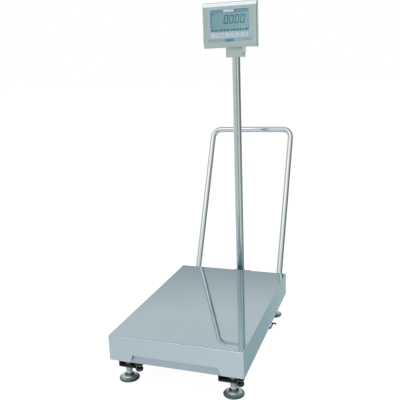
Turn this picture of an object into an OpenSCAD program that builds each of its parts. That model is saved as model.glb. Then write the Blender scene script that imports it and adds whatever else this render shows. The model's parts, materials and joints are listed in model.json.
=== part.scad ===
// Floor-standing animal weighing scale: stainless platform on four levelling
// feet, a leaning guard rail, a pole and a weight indicator with seven keys.
// Millimetres, +Z up. The origin is on the floor in the middle of the whole
// footprint; the front of the scale faces -Y and its left side is -X.

/* [Platform] */
// Width of the weighing platform
platform_w = 500; // [496:1:504]
// Length of the weighing platform
platform_l = 760; // [752:1:764]
// Height of the weighing surface above the floor
platform_h = 186; // [184:1:190]
// Height of the folded skirt round the cover
skirt_h = 96; // [92:1:97]
// Thickness of the stainless cover sheet
cover_t = 1.5; // [1.2:0.1:2]
// Outside radius of the bend between top and skirt
bend_r = 4; // [3:0.5:6]
// Half width of the skirt notch at its top
notch_top = 158; // [150:1:162]
// Half width of the skirt notch at its open bottom
notch_low = 170; // [164:1:174]
// Height of the skirt notch
notch_h = 28; // [26:1:34]

/* [Base frame] */
// Distance of each base rail's centre line from the middle
rail_x = 188; // [186:1:190]
// Width of a base rail
rail_w = 70; // [66:1:72]
// Underside of the base rails above the floor
rail_z = 59; // [58:1:60]
// Height of a base rail
rail_h = 28; // [27:1:28]
// Wall thickness of the base rails
rail_t = 3; // [2:0.5:4]
// Distance the base stands back from the front skirt
set_back = 15; // [14:1:17]

/* [Levelling feet] */
// Foot position across, from the middle
foot_x = 199.5; // [198:0.5:201]
// Foot position lengthways, from the middle of the platform
foot_y = 333.5; // [330:0.5:335]
// Radius of the round foot pad
pad_r = 37.5; // [34:0.5:40]
// Radius of the threaded stem (M24)
stem_r = 12; // [10:0.5:12]
// Height of the top of the stem above the floor
stem_top = 124; // [118:1:128]

/* [Pole] */
// Distance of the pole behind the middle of the platform
pole_y = 513; // [510:1:520]
// Outside radius of the pole tube
pole_r = 19.05; // [17:0.05:20]
// Wall thickness of the pole tube
pole_t = 2; // [1.5:0.1:3]
// Height of the top of the pole
pole_top = 1186; // [1170:1:1186]

/* [Guard rail] */
// Distance of each guard leg from the middle
guard_x = 201.8; // [198:0.1:203]
// Height of the guard's top bar above the floor
guard_top = 796; // [760:1:820]
// Distance of the guard's top bar behind the middle of the platform
guard_top_y = 787.3; // [760:0.1:800]
// Outside radius of the guard tube
guard_r = 14; // [12.5:0.1:14.5]
// Wall thickness of the guard tube
guard_t = 1.5; // [1.2:0.1:2.5]
// Centre-line radius of the guard's two bends
guard_bend = 42; // [36:1:50]

/* [Indicator] */
// Width of the indicator
ind_w = 243; // [241:1:246]
// Height of the indicator
ind_h = 190; // [188:1:192]
// Underside of the indicator above the floor
ind_z = 1191; // [1190:1:1193]
// Depth of the indicator's front case
ind_d = 21; // [20:1:24]
// Distance of the indicator's face in front of the pole axis
ind_front = 96; // [94:1:98]
// Width of the display window
lcd_w = 170; // [160:1:176]
// Height of the display window
lcd_h = 89.5; // [80:0.5:90]

/* [Keys] */
// Width of the six small keys
key_w = 18; // [15:0.5:19]
// Width of the long key
key_long = 32; // [28:0.5:33]
// Height of all keys
key_h = 19; // [16:0.5:19]
// Distance the keys travel when pressed, and stand proud of the panel
key_travel = 0.6; // [0.4:0.1:0.8]

/* [Hidden] */

$fn = 64;
shift_y = -210;                 // platform middle, seen from the origin
gap = 0.05;                     // clearance on radius
cut = 1;                        // how far a cut runs past a surface

stainless = "#b4c2c5";
stainless_dark = "#8f9d9f";
black_steel = "#1f2123";
rubber_black = "#141516";
steel_zinc = "#a6adb0";

// Levels of the weighing stack, from the cover down
skirt_z = platform_h - skirt_h;             // lower edge of the skirt
pad_t = 2.5;                                // rubber pads under the cover
frame_top = platform_h - cover_t - pad_t;
frame_h = 25;
frame_z = frame_top - frame_h;
cell_h = 50;
upper_t = 10;                               // spacer on top of the load cell
cell_z = frame_z - upper_t - cell_h;        // underside of the load cell

rail_top = rail_z + rail_h;
rail_inner = rail_x - rail_w / 2;           // inner side of each rail
front_y = -platform_l / 2 + set_back;       // front end of the base rails
rail_end = 480;                             // rear end of the base rails
outrig_h = 25;                              // beam that carries the pole
outrig_z = rail_top + outrig_h;

// Bolts that hold the pole socket and the guard sockets
bolt_r = 4;
bolt_hole_r = bolt_r + gap;
bolt_af = 13;                               // across the flats

// ------------------------------------------------------------- helpers
// Parts are drawn from the platform's middle, then moved to the origin's frame
module row() translate([0, shift_y, 0]) children();
module box(low, high) translate(low) cube(high - low);
module hole(radius, height) translate([0, 0, -cut])
    cylinder(r = radius, h = height + 2 * cut);
// hole sunk from a top face at z = 0
module sunk_hole(radius, depth) translate([0, 0, -depth])
    cylinder(r = radius, h = depth + 2);
module tube(radius, wall, height) difference() {
    cylinder(r = radius, h = height);
    hole(radius - wall, height);
}
// round bars that start at the origin and run along +X or +Y
module rod_x(radius, length) rotate([0, 90, 0]) cylinder(r = radius, h = length);
module rod_y(radius, length) rotate([-90, 0, 0]) cylinder(r = radius, h = length);
module four(x, y) for (side = [-1, 1], end = [-1, 1])
    translate([side * x, end * y, 0]) children();
module at_ys(ys, z) for (y = ys) translate([0, y, z]) children();
module hex(across, height) cylinder(d = across / cos(30), h = height, $fn = 6);
// flat shape stood up in the XZ plane, from y = 0 to y = depth
module upright(depth) rotate([90, 0, 0]) mirror([0, 0, 1])
    linear_extrude(depth) children();
module round_plate(width, height, radius, depth) upright(depth) union() {
    translate([-width / 2 + radius, 0]) square([width - 2 * radius, height]);
    translate([-width / 2, radius]) square([width, height - 2 * radius]);
    for (x = [-width / 2 + radius, width / 2 - radius], z = [radius, height - radius])
        translate([x, z]) circle(radius);
}
// rectangular tube open along Y, or along X
module rect_tube_y(low, high, wall) difference() {
    box(low, high);
    box(low + [wall, -cut, wall], high - [wall, -cut, wall]);
}
module rect_tube_x(low, high, wall) difference() {
    box(low, high);
    box(low + [-cut, wall, wall], high - [-cut, wall, wall]);
}
// bolt and nut, with the underside of the head at z = 0
module nut_and_bolt(shank, nut_z) {
    hex(bolt_af, 5.3);
    translate([0, 0, -shank]) cylinder(r = bolt_r, h = shank + 0.5);
    translate([0, 0, nut_z]) hex(bolt_af, 6.4);
}

// ---------------------------------------------------------------- base
end_bar_y = [262, 322];         // inner and outer side of the end members
cell_bar_y = [20, 110];         // member under the load cell
guard_bolt_ys = [406, 466];

cell_x = 30;                    // half width of the load cell
cell_y = 95;                    // half length of the load cell
spacer_y = 35;                  // inner end of both spacers
lower_bolt_ys = [50, 80];
upper_bolt_ys = -lower_bolt_ys;
cell_bolt_r = 6;
cell_hole_r = cell_bolt_r + gap;
cell_head_af = 18;
cell_head_h = 8;

module base_rails() row() color(black_steel)
    for (side = [-1, 1]) difference() {
        rect_tube_y([side * rail_x - rail_w / 2, front_y, rail_z],
            [side * rail_x + rail_w / 2, rail_end, rail_top], rail_t);
        translate([side * foot_x, 0, 0]) at_ys([-foot_y, foot_y], rail_z)
            hole(stem_r + 1, rail_h);
        translate([side * guard_x, 0, 0]) at_ys(guard_bolt_ys, rail_top)
            sunk_hole(bolt_hole_r, 8);
    }

module cross_member(y_front, y_rear, wall)
    rect_tube_x([-rail_inner, y_front, rail_z], [rail_inner, y_rear, rail_top], wall);
module cross_members() row() color(black_steel) {
    cross_member(-end_bar_y[1], -end_bar_y[0], 3);
    cross_member(end_bar_y[0], end_bar_y[1], 3);
    difference() {
        cross_member(cell_bar_y[0], cell_bar_y[1], 4);
        at_ys(lower_bolt_ys, rail_z) hole(cell_hole_r, rail_h);
    }
}

end_plate_t = 1.5;
end_low_x = 178;                // half width at the bottom
end_high_x = 157;               // half width above the slanted sides
end_slant_h = 37;
web_h = 40;                     // upright webs that brace the end plates
web_half = 1;                   // half thickness of a web
module end_plate(height) upright(end_plate_t)
    polygon([[-end_low_x, 0], [end_low_x, 0], [end_high_x, end_slant_h],
        [end_high_x, height], [-end_high_x, height], [-end_high_x, end_slant_h]]);

module front_end_plate() row() color(stainless_dark) {
    inner_y = front_y - end_plate_t;
    translate([0, inner_y - end_plate_t, 83]) end_plate(67);
    box([-150, inner_y, rail_top], [150, -300, rail_top + end_plate_t]);
    for (x = [-120, 0, 120]) box([x - web_half, inner_y, rail_top],
        [x + web_half, front_y + 30, rail_top + web_h]);
}

module rear_end_plate() row() color(stainless_dark) {
    plate_y = -front_y + end_plate_t;
    flange_end = plate_y + 0.5;
    flange_x = 110;
    flange_half = 35;
    window_x = 64;              // half width of the opening for the outrigger
    difference() {
        translate([0, plate_y, rail_top + 1]) end_plate(62);
        box([-window_x, plate_y - 1, rail_top - 2], [window_x, plate_y + 3, outrig_z + 3]);
    }
    for (x = [-flange_x, flange_x]) {
        box([x - flange_half, 280, rail_top],
            [x + flange_half, flange_end, rail_top + end_plate_t]);
        box([x - web_half, 335, rail_top], [x + web_half, flange_end, rail_top + web_h]);
    }
}

// Each end has one bumper inside a rail and one outside the other rail;
// the rear pair is the front pair turned half a turn.
bumper_offset = 5;              // bumper axis from the side of the rail
bumper_x = [-rail_inner + bumper_offset, rail_x + rail_w / 2 + bumper_offset];
bumper_y = -352;
bumper_z = 46;
bumper_h = 12.4;
// radius, height
bumper_profile = [[0, 0], [7, 0], [10.5, 1], [13, 3.4], [14, 6.4], [14, 10.8],
    [12.8, bumper_h], [0, bumper_h]];
module at_bumpers() for (turn = [0, 180], x = bumper_x) rotate(turn)
    translate([x, bumper_y, 0]) children();
module bumper_brackets() row() color(black_steel) at_bumpers() {
    box([-bumper_offset, -13, 69], [19 - bumper_offset, 13, 73]);
    translate([0, 0, bumper_z + bumper_h]) cylinder(r = 4, h = 11.6);
}
module rubber_bumpers() row() color(rubber_black) at_bumpers()
    translate([0, 0, bumper_z]) rotate_extrude() polygon(bumper_profile);

boss_r = 20;
boss_h = 14;
nut_h = 11;
module foot_bosses() row() color(steel_zinc) four(foot_x, foot_y)
    translate([0, 0, rail_top]) tube(boss_r, boss_r - stem_r - gap, boss_h);
module lock_nuts() row() color(steel_zinc) four(foot_x, foot_y)
    translate([0, 0, rail_top + boss_h]) difference() {
        intersection() {
            hex(36, nut_h);
            cylinder(r1 = 34, r2 = 19.5, h = nut_h);    // bevels the top corners
        }
        hole(stem_r + gap, nut_h);
    }

module load_cell() row() color("#c9ccce") difference() {
    relief_r = 17;              // two round cross holes joined by a slot
    relief_y = 22;
    slot_half = 6;
    blind = 10;                 // metal left beyond the blind bolt holes
    side_x = cell_x + cut;
    mid_z = cell_z + cell_h / 2;
    box([-cell_x, -cell_y, cell_z], [cell_x, cell_y, cell_z + cell_h]);
    at_ys([-relief_y, relief_y], mid_z) translate([-side_x, 0, 0])
        rod_x(relief_r, 2 * side_x);
    box([-side_x, -relief_y, mid_z - slot_half], [side_x, relief_y, mid_z + slot_half]);
    at_ys(lower_bolt_ys, cell_z - cut) cylinder(r = cell_hole_r, h = cell_h - blind + cut);
    at_ys(upper_bolt_ys, cell_z + blind) cylinder(r = cell_hole_r, h = cell_h);
}
module load_cell_spacer_lower() row() color(steel_zinc) difference() {
    box([-cell_x, spacer_y, rail_top], [cell_x, cell_y, cell_z]);
    at_ys(lower_bolt_ys, rail_top) hole(cell_hole_r, cell_z - rail_top);
}
module load_cell_bolts_lower() row() color(steel_zinc) {
    head_z = rail_z - cell_head_h;
    tip_z = cell_z + cell_h - 14;
    at_ys(lower_bolt_ys, head_z) {
        hex(cell_head_af, cell_head_h);
        cylinder(r = cell_bolt_r, h = tip_z - head_z);
    }
}

module overload_stops() row() color(steel_zinc) four(rail_x + 2, 285)
    translate([0, 0, rail_top]) {
        stop_af = 17;
        head_h = 6;
        stop_gap = 1.3;         // free space between stop and weighing frame
        rise = frame_z - rail_top;
        hex(stop_af, 8);
        cylinder(r = 5, h = rise - 6);
        translate([0, 0, rise - stop_gap - head_h]) hex(stop_af, head_h);
    }

// ---------------------------------------------------------------- pole
gland_y = pole_y - 20;          // where the cable enters the outrigger
socket_t = 6;                   // base plate of the pole socket
socket_half = 46;
socket_bolt = 34;               // socket bolts from the pole axis, both ways
module pole_outrigger() row() color(black_steel) difference() {
    depth = 6;                  // of the cuts through one wall
    cable_hole_r = 8;
    rect_tube_y([-60, end_bar_y[0], rail_top], [60, 568, outrig_z], 4);
    translate([0, pole_y, outrig_z]) sunk_hole(cable_hole_r, depth);
    translate([0, gland_y, rail_top]) hole(cable_hole_r, depth);
    translate([0, pole_y, outrig_z]) four(socket_bolt, socket_bolt)
        sunk_hole(bolt_hole_r, depth);
}
module pole_socket() row() color(stainless) translate([0, pole_y, outrig_z])
    difference() {
        union() {
            box([-socket_half, -socket_half, 0], [socket_half, socket_half, socket_t]);
            cylinder(r = pole_r + 5, h = 22);
            for (turn = [0, 90, 180, 270]) rotate(turn)     // ribs
                translate([pole_r + 3, -2, 5]) cube([18, 4, 10]);
        }
        hole(pole_r + gap, 58);
        four(socket_bolt, socket_bolt) hole(bolt_hole_r, socket_t);
    }
module pole_socket_bolts() row() color(steel_zinc)
    translate([0, pole_y, outrig_z + socket_t]) four(socket_bolt, socket_bolt)
        nut_and_bolt(shank = 18, nut_z = -16.5);
module pole() row() color(stainless) translate([0, pole_y, outrig_z])
    tube(pole_r, pole_t, pole_top - outrig_z);
module pole_plug() row() color(rubber_black)
    translate([0, pole_y, pole_top]) difference() {
        depth = 12;
        union() {
            translate([0, 0, -depth])
                cylinder(r = pole_r - pole_t - 0.02, h = depth + 1);
            cylinder(r = pole_r - 0.05, h = 2.5);
        }
        translate([0, 0, -depth]) hole(5, 18);
    }

// ---------------------------------------------------------- guard rail
// The legs start here and lean back towards the top bar
leg_z0 = 95;
leg_y0 = 437.4;
lean = atan2(guard_top_y - leg_y0, guard_top - leg_z0);
leg_len = norm([guard_top_y - leg_y0, guard_top - leg_z0]);
module on_lean() translate([0, leg_y0, leg_z0]) rotate([-lean, 0, 0]) children();

// two legs, two bends and the top bar, as solid bars in the XZ plane
module guard_path(radius) {
    straight = leg_len - guard_bend;
    bar_x = guard_x - guard_bend;
    for (side = [-1, 1]) {
        translate([side * guard_x, 0, 0]) cylinder(r = radius, h = straight);
        translate([side * bar_x, 0, straight])
            rotate([90, 0, 0]) rotate(side > 0 ? 0 : 90)
                rotate_extrude(angle = 90) translate([guard_bend, 0]) circle(radius);
    }
    translate([-bar_x, 0, leg_len]) rod_x(radius, 2 * bar_x);
}
module guard_rail() row() color(stainless) on_lean() difference() {
    bore_r = guard_r - guard_t;
    guard_path(guard_r);
    translate([0, 0, -0.01]) guard_path(bore_r);
    for (side = [-1, 1]) translate([side * guard_x, 0, 0]) hole(bore_r, 1);
}

guard_plate_t = 5;
module guard_sockets() row() color(stainless) for (side = [-1, 1]) difference() {
    leg_x = side * guard_x;
    inner = 28;                 // base plate reach from the leg, each way
    outer = 21;
    union() {
        box([leg_x - (side > 0 ? inner : outer), 396, rail_top],
            [leg_x + (side > 0 ? outer : inner), 476, rail_top + guard_plate_t]);
        intersection() {
            on_lean() translate([leg_x, 0, -30]) cylinder(r = 17, h = 82);
            box([leg_x - 40, 380, rail_top + 1], [leg_x + 40, 520, 200]);
        }
    }
    on_lean() translate([leg_x, 0, -40]) cylinder(r = guard_r + gap, h = 140);
    translate([leg_x, 0, 0]) at_ys(guard_bolt_ys, rail_top)
        hole(bolt_hole_r, guard_plate_t + 1);
}
module guard_bolts() row() color(steel_zinc)
    for (side = [-1, 1]) translate([side * guard_x, 0, 0])
        at_ys(guard_bolt_ys, rail_top + guard_plate_t)
            nut_and_bolt(shank = 17, nut_z = -guard_plate_t - rail_t - 6.4);

// ----------------------------------------------- spirit level and cable
level_y = 425;
level_floor = 2;
module level_housing() row() color(black_steel) translate([0, level_y, outrig_z])
    difference() {
        cylinder(r = 16, h = 10);
        translate([0, 0, level_floor]) cylinder(r = 11, h = 9);
    }
module level_vial() row() color("#c8dc6a")
    translate([0, level_y, outrig_z + level_floor]) intersection() {
        cylinder(r = 10.9, h = 9.5);
        translate([0, 0, -31]) sphere(r = 40);              // domed top
    }

// x, y, z of the cable's centre line: from the load cell over the right rail,
// along the floor to the outrigger, then up inside the pole
cable_pts = [[34, -70, cell_z + 25], [46, -70, cell_z + 25], [60, -60, 104],
    [140, -10, 99], [190, 40, 97], [230, 66, 93], [236, 84, 53],
    [236, 155, 42], [236, 200, 20], [233.5, 228, 6], [227, 239, 3.4],
    [218, 238, 3.4], [207, 236, 3.4], [196, 242, 3.4], [180, 262, 3.4],
    [120, 360, 3.4], [50, 440, 3.4], [12, 480, 4.5], [0, gland_y, 14],
    [0, gland_y, outrig_z - 14], [0, pole_y - 6, outrig_z - 9],
    [0, pole_y, outrig_z - 3], [0, pole_y, pole_top - 4]];
module signal_cable() row() color(rubber_black)
    for (i = [0 : len(cable_pts) - 2]) hull() for (p = [0, 1])
        translate(cable_pts[i + p]) sphere(r = 3.1, $fn = 8);
module cable_gland() row() color(rubber_black)
    translate([0, gland_y, rail_top - 14]) difference() {
        union() {
            hex(18, 7);
            translate([0, 0, 6]) cylinder(r = 10.5, h = 8);
        }
        hole(3.6, 18);
    }

// ------------------------------------------------------ weighing frame
bar_x = 190;                    // long bars, from the middle
bar_half = 20;                  // half width of every bar
bar_wall = 2.5;
cross_bar_ys = [-325, -122, 122, 325];
cell_plate_t = 6;               // plate that sits on the upper spacer
// Long and cross bars: full size, or shrunk by inset for their hollows
module frame_bars(inset, overrun) {
    half = bar_half - inset;
    low = frame_z + inset;
    high = frame_top - inset;
    end_y = 345 + overrun;
    end_x = 171;
    for (x = [-bar_x, bar_x]) box([x - half, -end_y, low], [x + half, end_y, high]);
    for (y = cross_bar_ys) box([-end_x, y - half, low], [end_x, y + half, high]);
}
module upper_frame() row() color(steel_zinc) difference() {
    tie_end = 103;
    union() {
        frame_bars(0, 0);
        for (x = [-90, 90]) box([x - 6, -tie_end, frame_z], [x + 6, tie_end, frame_top]);
        box([-85, -tie_end, frame_z], [85, -28, frame_z + cell_plate_t]);
    }
    frame_bars(bar_wall, cut);
    at_ys(upper_bolt_ys, frame_z) hole(cell_hole_r, cell_plate_t);
}
module load_cell_spacer_upper() row() color(steel_zinc) difference() {
    box([-cell_x, -cell_y, cell_z + cell_h], [cell_x, -spacer_y, frame_z]);
    at_ys(upper_bolt_ys, cell_z + cell_h) hole(cell_hole_r, upper_t);
}
module load_cell_bolts_upper() row() color(steel_zinc)
    at_ys(upper_bolt_ys, frame_z + cell_plate_t) {
        shank = 50;
        hex(cell_head_af, cell_head_h);
        translate([0, 0, -shank]) cylinder(r = cell_bolt_r, h = shank + 1);
    }
module cover_pads() row() color(rubber_black) {
    radius = 15;
    for (x = [-bar_x, bar_x], y = [-300, -100, 100, 300])
        translate([x, y, frame_top]) cylinder(r = radius, h = pad_t);
    at_ys(cross_bar_ys, frame_top) cylinder(r = radius, h = pad_t);
}

// rectangle with its two upper corners rounded
module folded(width, height, radius) union() {
    translate([-width / 2, 0]) square([width, height - radius]);
    translate([-width / 2 + radius, 0]) square([width - 2 * radius, height]);
    for (side = [-1, 1]) translate([side * (width / 2 - radius), height - radius])
        circle(radius);
}
module folded_box(width, length, height, radius) intersection() {
    rotate([90, 0, 0]) translate([0, 0, -length / 2 - cut])
        linear_extrude(length + 2 * cut) folded(width, height, radius);
    rotate([90, 0, 90]) translate([0, 0, -width / 2 - cut])
        linear_extrude(width + 2 * cut) folded(length, height, radius);
}
module cover_plate() row() color(stainless) translate([0, 0, skirt_z])
    difference() {
        cut_low = notch_low + 0.43;         // half width at the cut's lower edge
        folded_box(platform_w, platform_l, skirt_h, bend_r);
        translate([0, 0, -cut]) folded_box(platform_w - 2 * cover_t,
            platform_l - 2 * cover_t, skirt_h - cover_t + cut, bend_r - cover_t);
        // notches in the front and rear skirts
        rotate([90, 0, 0]) translate([0, 0, -platform_l / 2 - 5])
            linear_extrude(platform_l + 10) polygon([[-cut_low, -cut],
                [cut_low, -cut], [notch_top, notch_h], [-notch_top, notch_h]]);
    }

// ------------------------------------------------------ levelling feet
neck_r = 8;                     // stem end that sits in the pad
neck_z = 6;
// radius, height
pad_profile = [[0, 0], [pad_r - 1, 0], [pad_r, 1], [pad_r, 3.5], [pad_r - 1.2, 5],
    [pad_r - 5, 6.6], [pad_r - 10, 8.6], [pad_r - 15, 11.4], [pad_r - 19, 14.4],
    [17, 16.2], [15.5, 18], [0, 18]];
module foot_pad(x, y) row() color(stainless) translate([x, y, 0])
    difference() {
        rotate_extrude() polygon(pad_profile);
        translate([0, 0, neck_z]) cylinder(r = neck_r + gap, h = 20);
    }
module foot_stem(x, y) row() color(steel_zinc) translate([x, y, 0]) {
    thread_z = 24;
    chamfer = 1.5;
    translate([0, 0, neck_z]) cylinder(r = neck_r, h = 19);
    translate([0, 0, thread_z]) cylinder(r = stem_r, h = stem_top - 1 - thread_z);
    translate([0, 0, stem_top - chamfer])
        cylinder(r1 = stem_r, r2 = stem_r - chamfer, h = chamfer);
}

// ---------------------------------------------------------------- head
tilt_y = pole_y + 14;                       // tilt axis, along X
tilt_z = ind_z + 41;
tilt_pin_r = 4;
bracket_z = ind_z - 40;                     // underside of the head bracket
bracket_top = ind_z + 2.5;
bracket_x = 38;                             // half width of the head bracket
bracket_y = 32;                             // half depth of the head bracket
bracket_t = 3;
ear_r = 18;                                 // radius of its two ears
swivel_z = bracket_z + 12.5;                // axis of the clamp bolt
head_bolt_h = 5.5;                          // height of a bolt head here

module head_bracket() row() color("#aab7b2") difference() {
    inner_x = bracket_x - bracket_t;
    inner_y = bracket_y - bracket_t;
    tight_r = 4.02;                         // holes for the pin and the bolt
    union() {
        difference() {
            box([-bracket_x, pole_y - bracket_y, bracket_z],
                [bracket_x, pole_y + bracket_y, bracket_top]);
            box([-inner_x, pole_y - inner_y, bracket_z + bracket_t],
                [inner_x, pole_y + inner_y, bracket_top + cut]);
        }
        translate([0, pole_y, bracket_z]) cylinder(r = 24, h = 33);
        for (x = [-bracket_x, inner_x]) translate([x, 0, 0]) {
            box([0, tilt_y - ear_r, bracket_z + 10], [bracket_t, tilt_y + ear_r, tilt_z]);
            translate([0, tilt_y, tilt_z]) rod_x(ear_r, bracket_t);
        }
    }
    translate([0, pole_y, bracket_z]) hole(pole_r + gap, 43);
    translate([-45, tilt_y, tilt_z]) rod_x(tight_r, 90);
    translate([15, pole_y, swivel_z]) rod_x(tight_r, 30);
}
module swivel_clamp_bolt() row() color(steel_zinc) {
    tip_gap = 0.15;             // between the bolt's tip and the pole
    reach = bracket_x - pole_r;
    translate([pole_r + tip_gap, pole_y, swivel_z]) rotate([0, 90, 0]) {
        cylinder(r = bolt_r, h = reach);
        translate([0, 0, reach - tip_gap]) hex(bolt_af, head_bolt_h);
    }
}
module tilt_pin() row() color(steel_zinc) translate([0, tilt_y, tilt_z])
    rotate([0, 90, 0]) {
        end = bracket_x + 5;
        translate([0, 0, -end]) cylinder(r = tilt_pin_r, h = 2 * end);
        for (z = [-bracket_x - head_bolt_h, bracket_x])
            translate([0, 0, z]) hex(bolt_af, head_bolt_h);
    }

// ----------------------------------------------------------- indicator
face_y = pole_y - ind_front;                // front plane
back_y = face_y + ind_d;                    // rear edge of the front case
gasket_t = 1.5;
seat_y = back_y + gasket_t;                 // front of the rear case
rear_t = 1.5;                               // sheet of the rear case
rear_y = face_y + 68;                       // back of the rear case
ind_top = ind_z + ind_h;
ind_mid = ind_z + ind_h / 2;
lcd_z = ind_z + 68;                         // lower edge of the display window
overlay_t = 0.7;
screw_x = 112;                              // case screws
screw_zs = [ind_z + 10, ind_top - 11];
screw_hole_r = 1.6;

key_z = ind_z + 51.5;                       // middle of the key row
key_xs = [-77, -55, -33, -11, 11, 33, 66];
function key_width(i) = i == 6 ? key_long : key_w;

// Side outline (y, z) of the front case, slanted at both front corners.
// inset shrinks it, less so along the slants; extra lengthens the rear.
module case_profile(width, inset, extra) {
    slant_y = inset * 0.6;
    slant_z = inset * 0.4;
    translate([-width / 2, 0, 0]) rotate([90, 0, 90]) linear_extrude(width) polygon([
        [back_y + extra, ind_z + inset],
        [face_y + 7 + slant_y, ind_z + inset],
        [face_y + inset, ind_z + 17.5 + slant_z],
        [face_y + inset, ind_top - 18 - slant_z],
        [face_y + 8 + slant_y, ind_top - inset],
        [back_y + extra, ind_top - inset]]);
}
module at_case_screws(y) for (x = [-screw_x, screw_x], z = screw_zs)
    translate([x, y, z]) children();
module case_rods(radius, y_front, y_rear)
    at_case_screws(y_front) rod_y(radius, y_rear - y_front);
module at_yoke_screws(y) for (x = [-20, 20], z = [tilt_z - 18, tilt_z + 18])
    translate([x, y, z]) children();
// Boxes on the display window and the keys; depths are measured from the face
module window_box(grow, front, rear)
    box([-lcd_w / 2 - grow, face_y + front, lcd_z - grow],
        [lcd_w / 2 + grow, face_y + rear, lcd_z + lcd_h + grow]);
module key_box(i, grow, front, rear)
    box([key_xs[i] - key_width(i) / 2 - grow, face_y + front, key_z - key_h / 2 - grow],
        [key_xs[i] + key_width(i) / 2 + grow, face_y + rear, key_z + key_h / 2 + grow]);
module key_holes(front, rear) for (i = [0 : 6]) key_box(i, 0.15, front, rear);

module front_case() row() color(stainless) difference() {
    wall = 1.2;
    union() {
        difference() {
            case_profile(ind_w, 0, 0);
            case_profile(ind_w - 2 * wall, wall, 1);
        }
        case_rods(4, face_y + 6.6, back_y);
        // webs between the screw bosses and the side walls
        for (x = [-116, 116], z = screw_zs)
            box([x - 4.5, face_y + 11, z - 1.5], [x + 4.5, back_y - 1, z + 1.5]);
    }
    case_rods(1.55, face_y + 12, back_y + cut);
    window_box(0.3, -1, 3);
    key_holes(-1, 3);
}
module case_gasket() row() color(rubber_black) difference() {
    edge = 0.3;
    opening_x = 107;
    opening_z = 6.2;
    box([-ind_w / 2 + edge, back_y, ind_z + edge],
        [ind_w / 2 - edge, seat_y, ind_top - edge]);
    box([-opening_x, back_y - 1, ind_z + opening_z],
        [opening_x, back_y + 3, ind_top - opening_z]);
    case_rods(screw_hole_r, back_y - 1, back_y + 3);
}
module rear_case() row() color(stainless_dark) difference() {
    width = 216;                // of the raised housing
    corner = 8;
    margin = 6;                 // housing below and above its flange's edges
    height = ind_h - 2 * margin;
    depth = rear_y - seat_y;
    union() {
        box([-ind_w / 2, seat_y, ind_z], [ind_w / 2, seat_y + rear_t, ind_top]);
        translate([0, seat_y, ind_z + margin]) round_plate(width, height, corner, depth);
    }
    translate([0, seat_y - rear_t, ind_z + margin + rear_t])
        round_plate(width - 2 * rear_t, height - 2 * rear_t, corner - rear_t, depth);
    case_rods(screw_hole_r, back_y - 1, back_y + 5);
    at_yoke_screws(rear_y - 4) rod_y(2 + gap, 6);
}
module case_screws() row() color(steel_zinc) at_case_screws(seat_y + rear_t) {
    rod_y(2.8, 2);
    translate([0, -10, 0]) rod_y(1.5, 10.5);
}
module overlay_panel() row() color("#a9bac6") difference() {
    translate([0, face_y - overlay_t, ind_z + 25]) round_plate(202, 146, 3, overlay_t);
    window_box(0, -2, 1);
    key_holes(-2, 1);
}
module lcd_window() row() color("#9fc0c6", 0.35) window_box(-0.1, -0.6, 1.4);
module lcd_module() row() color("#7ea4a8") {
    window_box(-1, 2, 6);
    window_box(2, 5.9, 9);
}
module main_board() row() color("#2f6b45") {
    part_y = face_y + 17;       // where the parts on the rear side start
    chip_end = face_y + 20;
    box([-102, face_y + 15.5, ind_z + 18], [102, face_y + 17.1, ind_top - 16]);
    for (x = key_xs) box([x - 3, face_y + 14, key_z - 3],   // key switches
        [x + 3, face_y + 16, key_z + 3]);
    box([-30, part_y, ind_mid - 10], [-6, chip_end, ind_mid + 14]);
    box([20, part_y, ind_mid - 6], [34, chip_end, ind_mid + 8]);
    for (x = [50, 64, 78]) translate([x, part_y, ind_mid + 20]) rod_y(5, 9);
}
module battery_pack() row() color("#2c3a66")
    box([-48, rear_y - 28, ind_z + 12], [48, rear_y - 6, ind_z + 66]);

yoke_t = 3;
module tilt_yoke() row() color(stainless_dark) difference() {
    half = 33;
    arm = 14;                   // half height and end radius of each arm
    union() {
        box([-half, rear_y, tilt_z - 25], [half, rear_y + yoke_t, tilt_z + 25]);
        for (x = [-half, half - yoke_t]) translate([x, 0, 0]) {
            box([0, rear_y + 1, tilt_z - arm], [yoke_t, tilt_y, tilt_z + arm]);
            translate([0, tilt_y, tilt_z]) rod_x(arm, yoke_t);
        }
    }
    translate([-40, tilt_y, tilt_z]) rod_x(tilt_pin_r + gap, 80);
    at_yoke_screws(rear_y - 1) rod_y(2 + gap, 6);
}
module yoke_screws() row() color(steel_zinc) at_yoke_screws(rear_y + yoke_t) {
    rod_y(3.6, 2.4);
    translate([0, -5, 0]) rod_y(2, 5.5);
}

// key cap with the plunger behind it
module key(i) row() color("#d7dfe2") {
    key_box(i, 0, -overlay_t - key_travel, 3);
    translate([key_xs[i], face_y + 2.5, key_z]) rod_y(3, 11.4 - key_travel);
}

base_rails();
cross_members();
front_end_plate();
rear_end_plate();
bumper_brackets();
rubber_bumpers();
foot_bosses();
lock_nuts();
load_cell();
load_cell_spacer_lower();
load_cell_bolts_lower();
overload_stops();
pole_outrigger();
pole_socket();
pole_socket_bolts();
pole();
pole_plug();
guard_rail();
guard_sockets();
guard_bolts();
level_housing();
level_vial();
signal_cable();
cable_gland();
upper_frame();
load_cell_spacer_upper();
load_cell_bolts_upper();
cover_pads();
cover_plate();
foot_pad(-foot_x, -foot_y);  // foot_pad_fl
foot_pad(foot_x, -foot_y);  // foot_pad_fr
foot_pad(-foot_x, foot_y);  // foot_pad_rl
foot_pad(foot_x, foot_y);  // foot_pad_rr
foot_stem(-foot_x, -foot_y);  // foot_stem_fl
foot_stem(foot_x, -foot_y);  // foot_stem_fr
foot_stem(-foot_x, foot_y);  // foot_stem_rl
foot_stem(foot_x, foot_y);  // foot_stem_rr
head_bracket();
swivel_clamp_bolt();
tilt_pin();
front_case();
rear_case();
case_gasket();
case_screws();
overlay_panel();
lcd_window();
lcd_module();
main_board();
battery_pack();
tilt_yoke();
yoke_screws();
key(0);  // key_1
key(1);  // key_2
key(2);  // key_3
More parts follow.
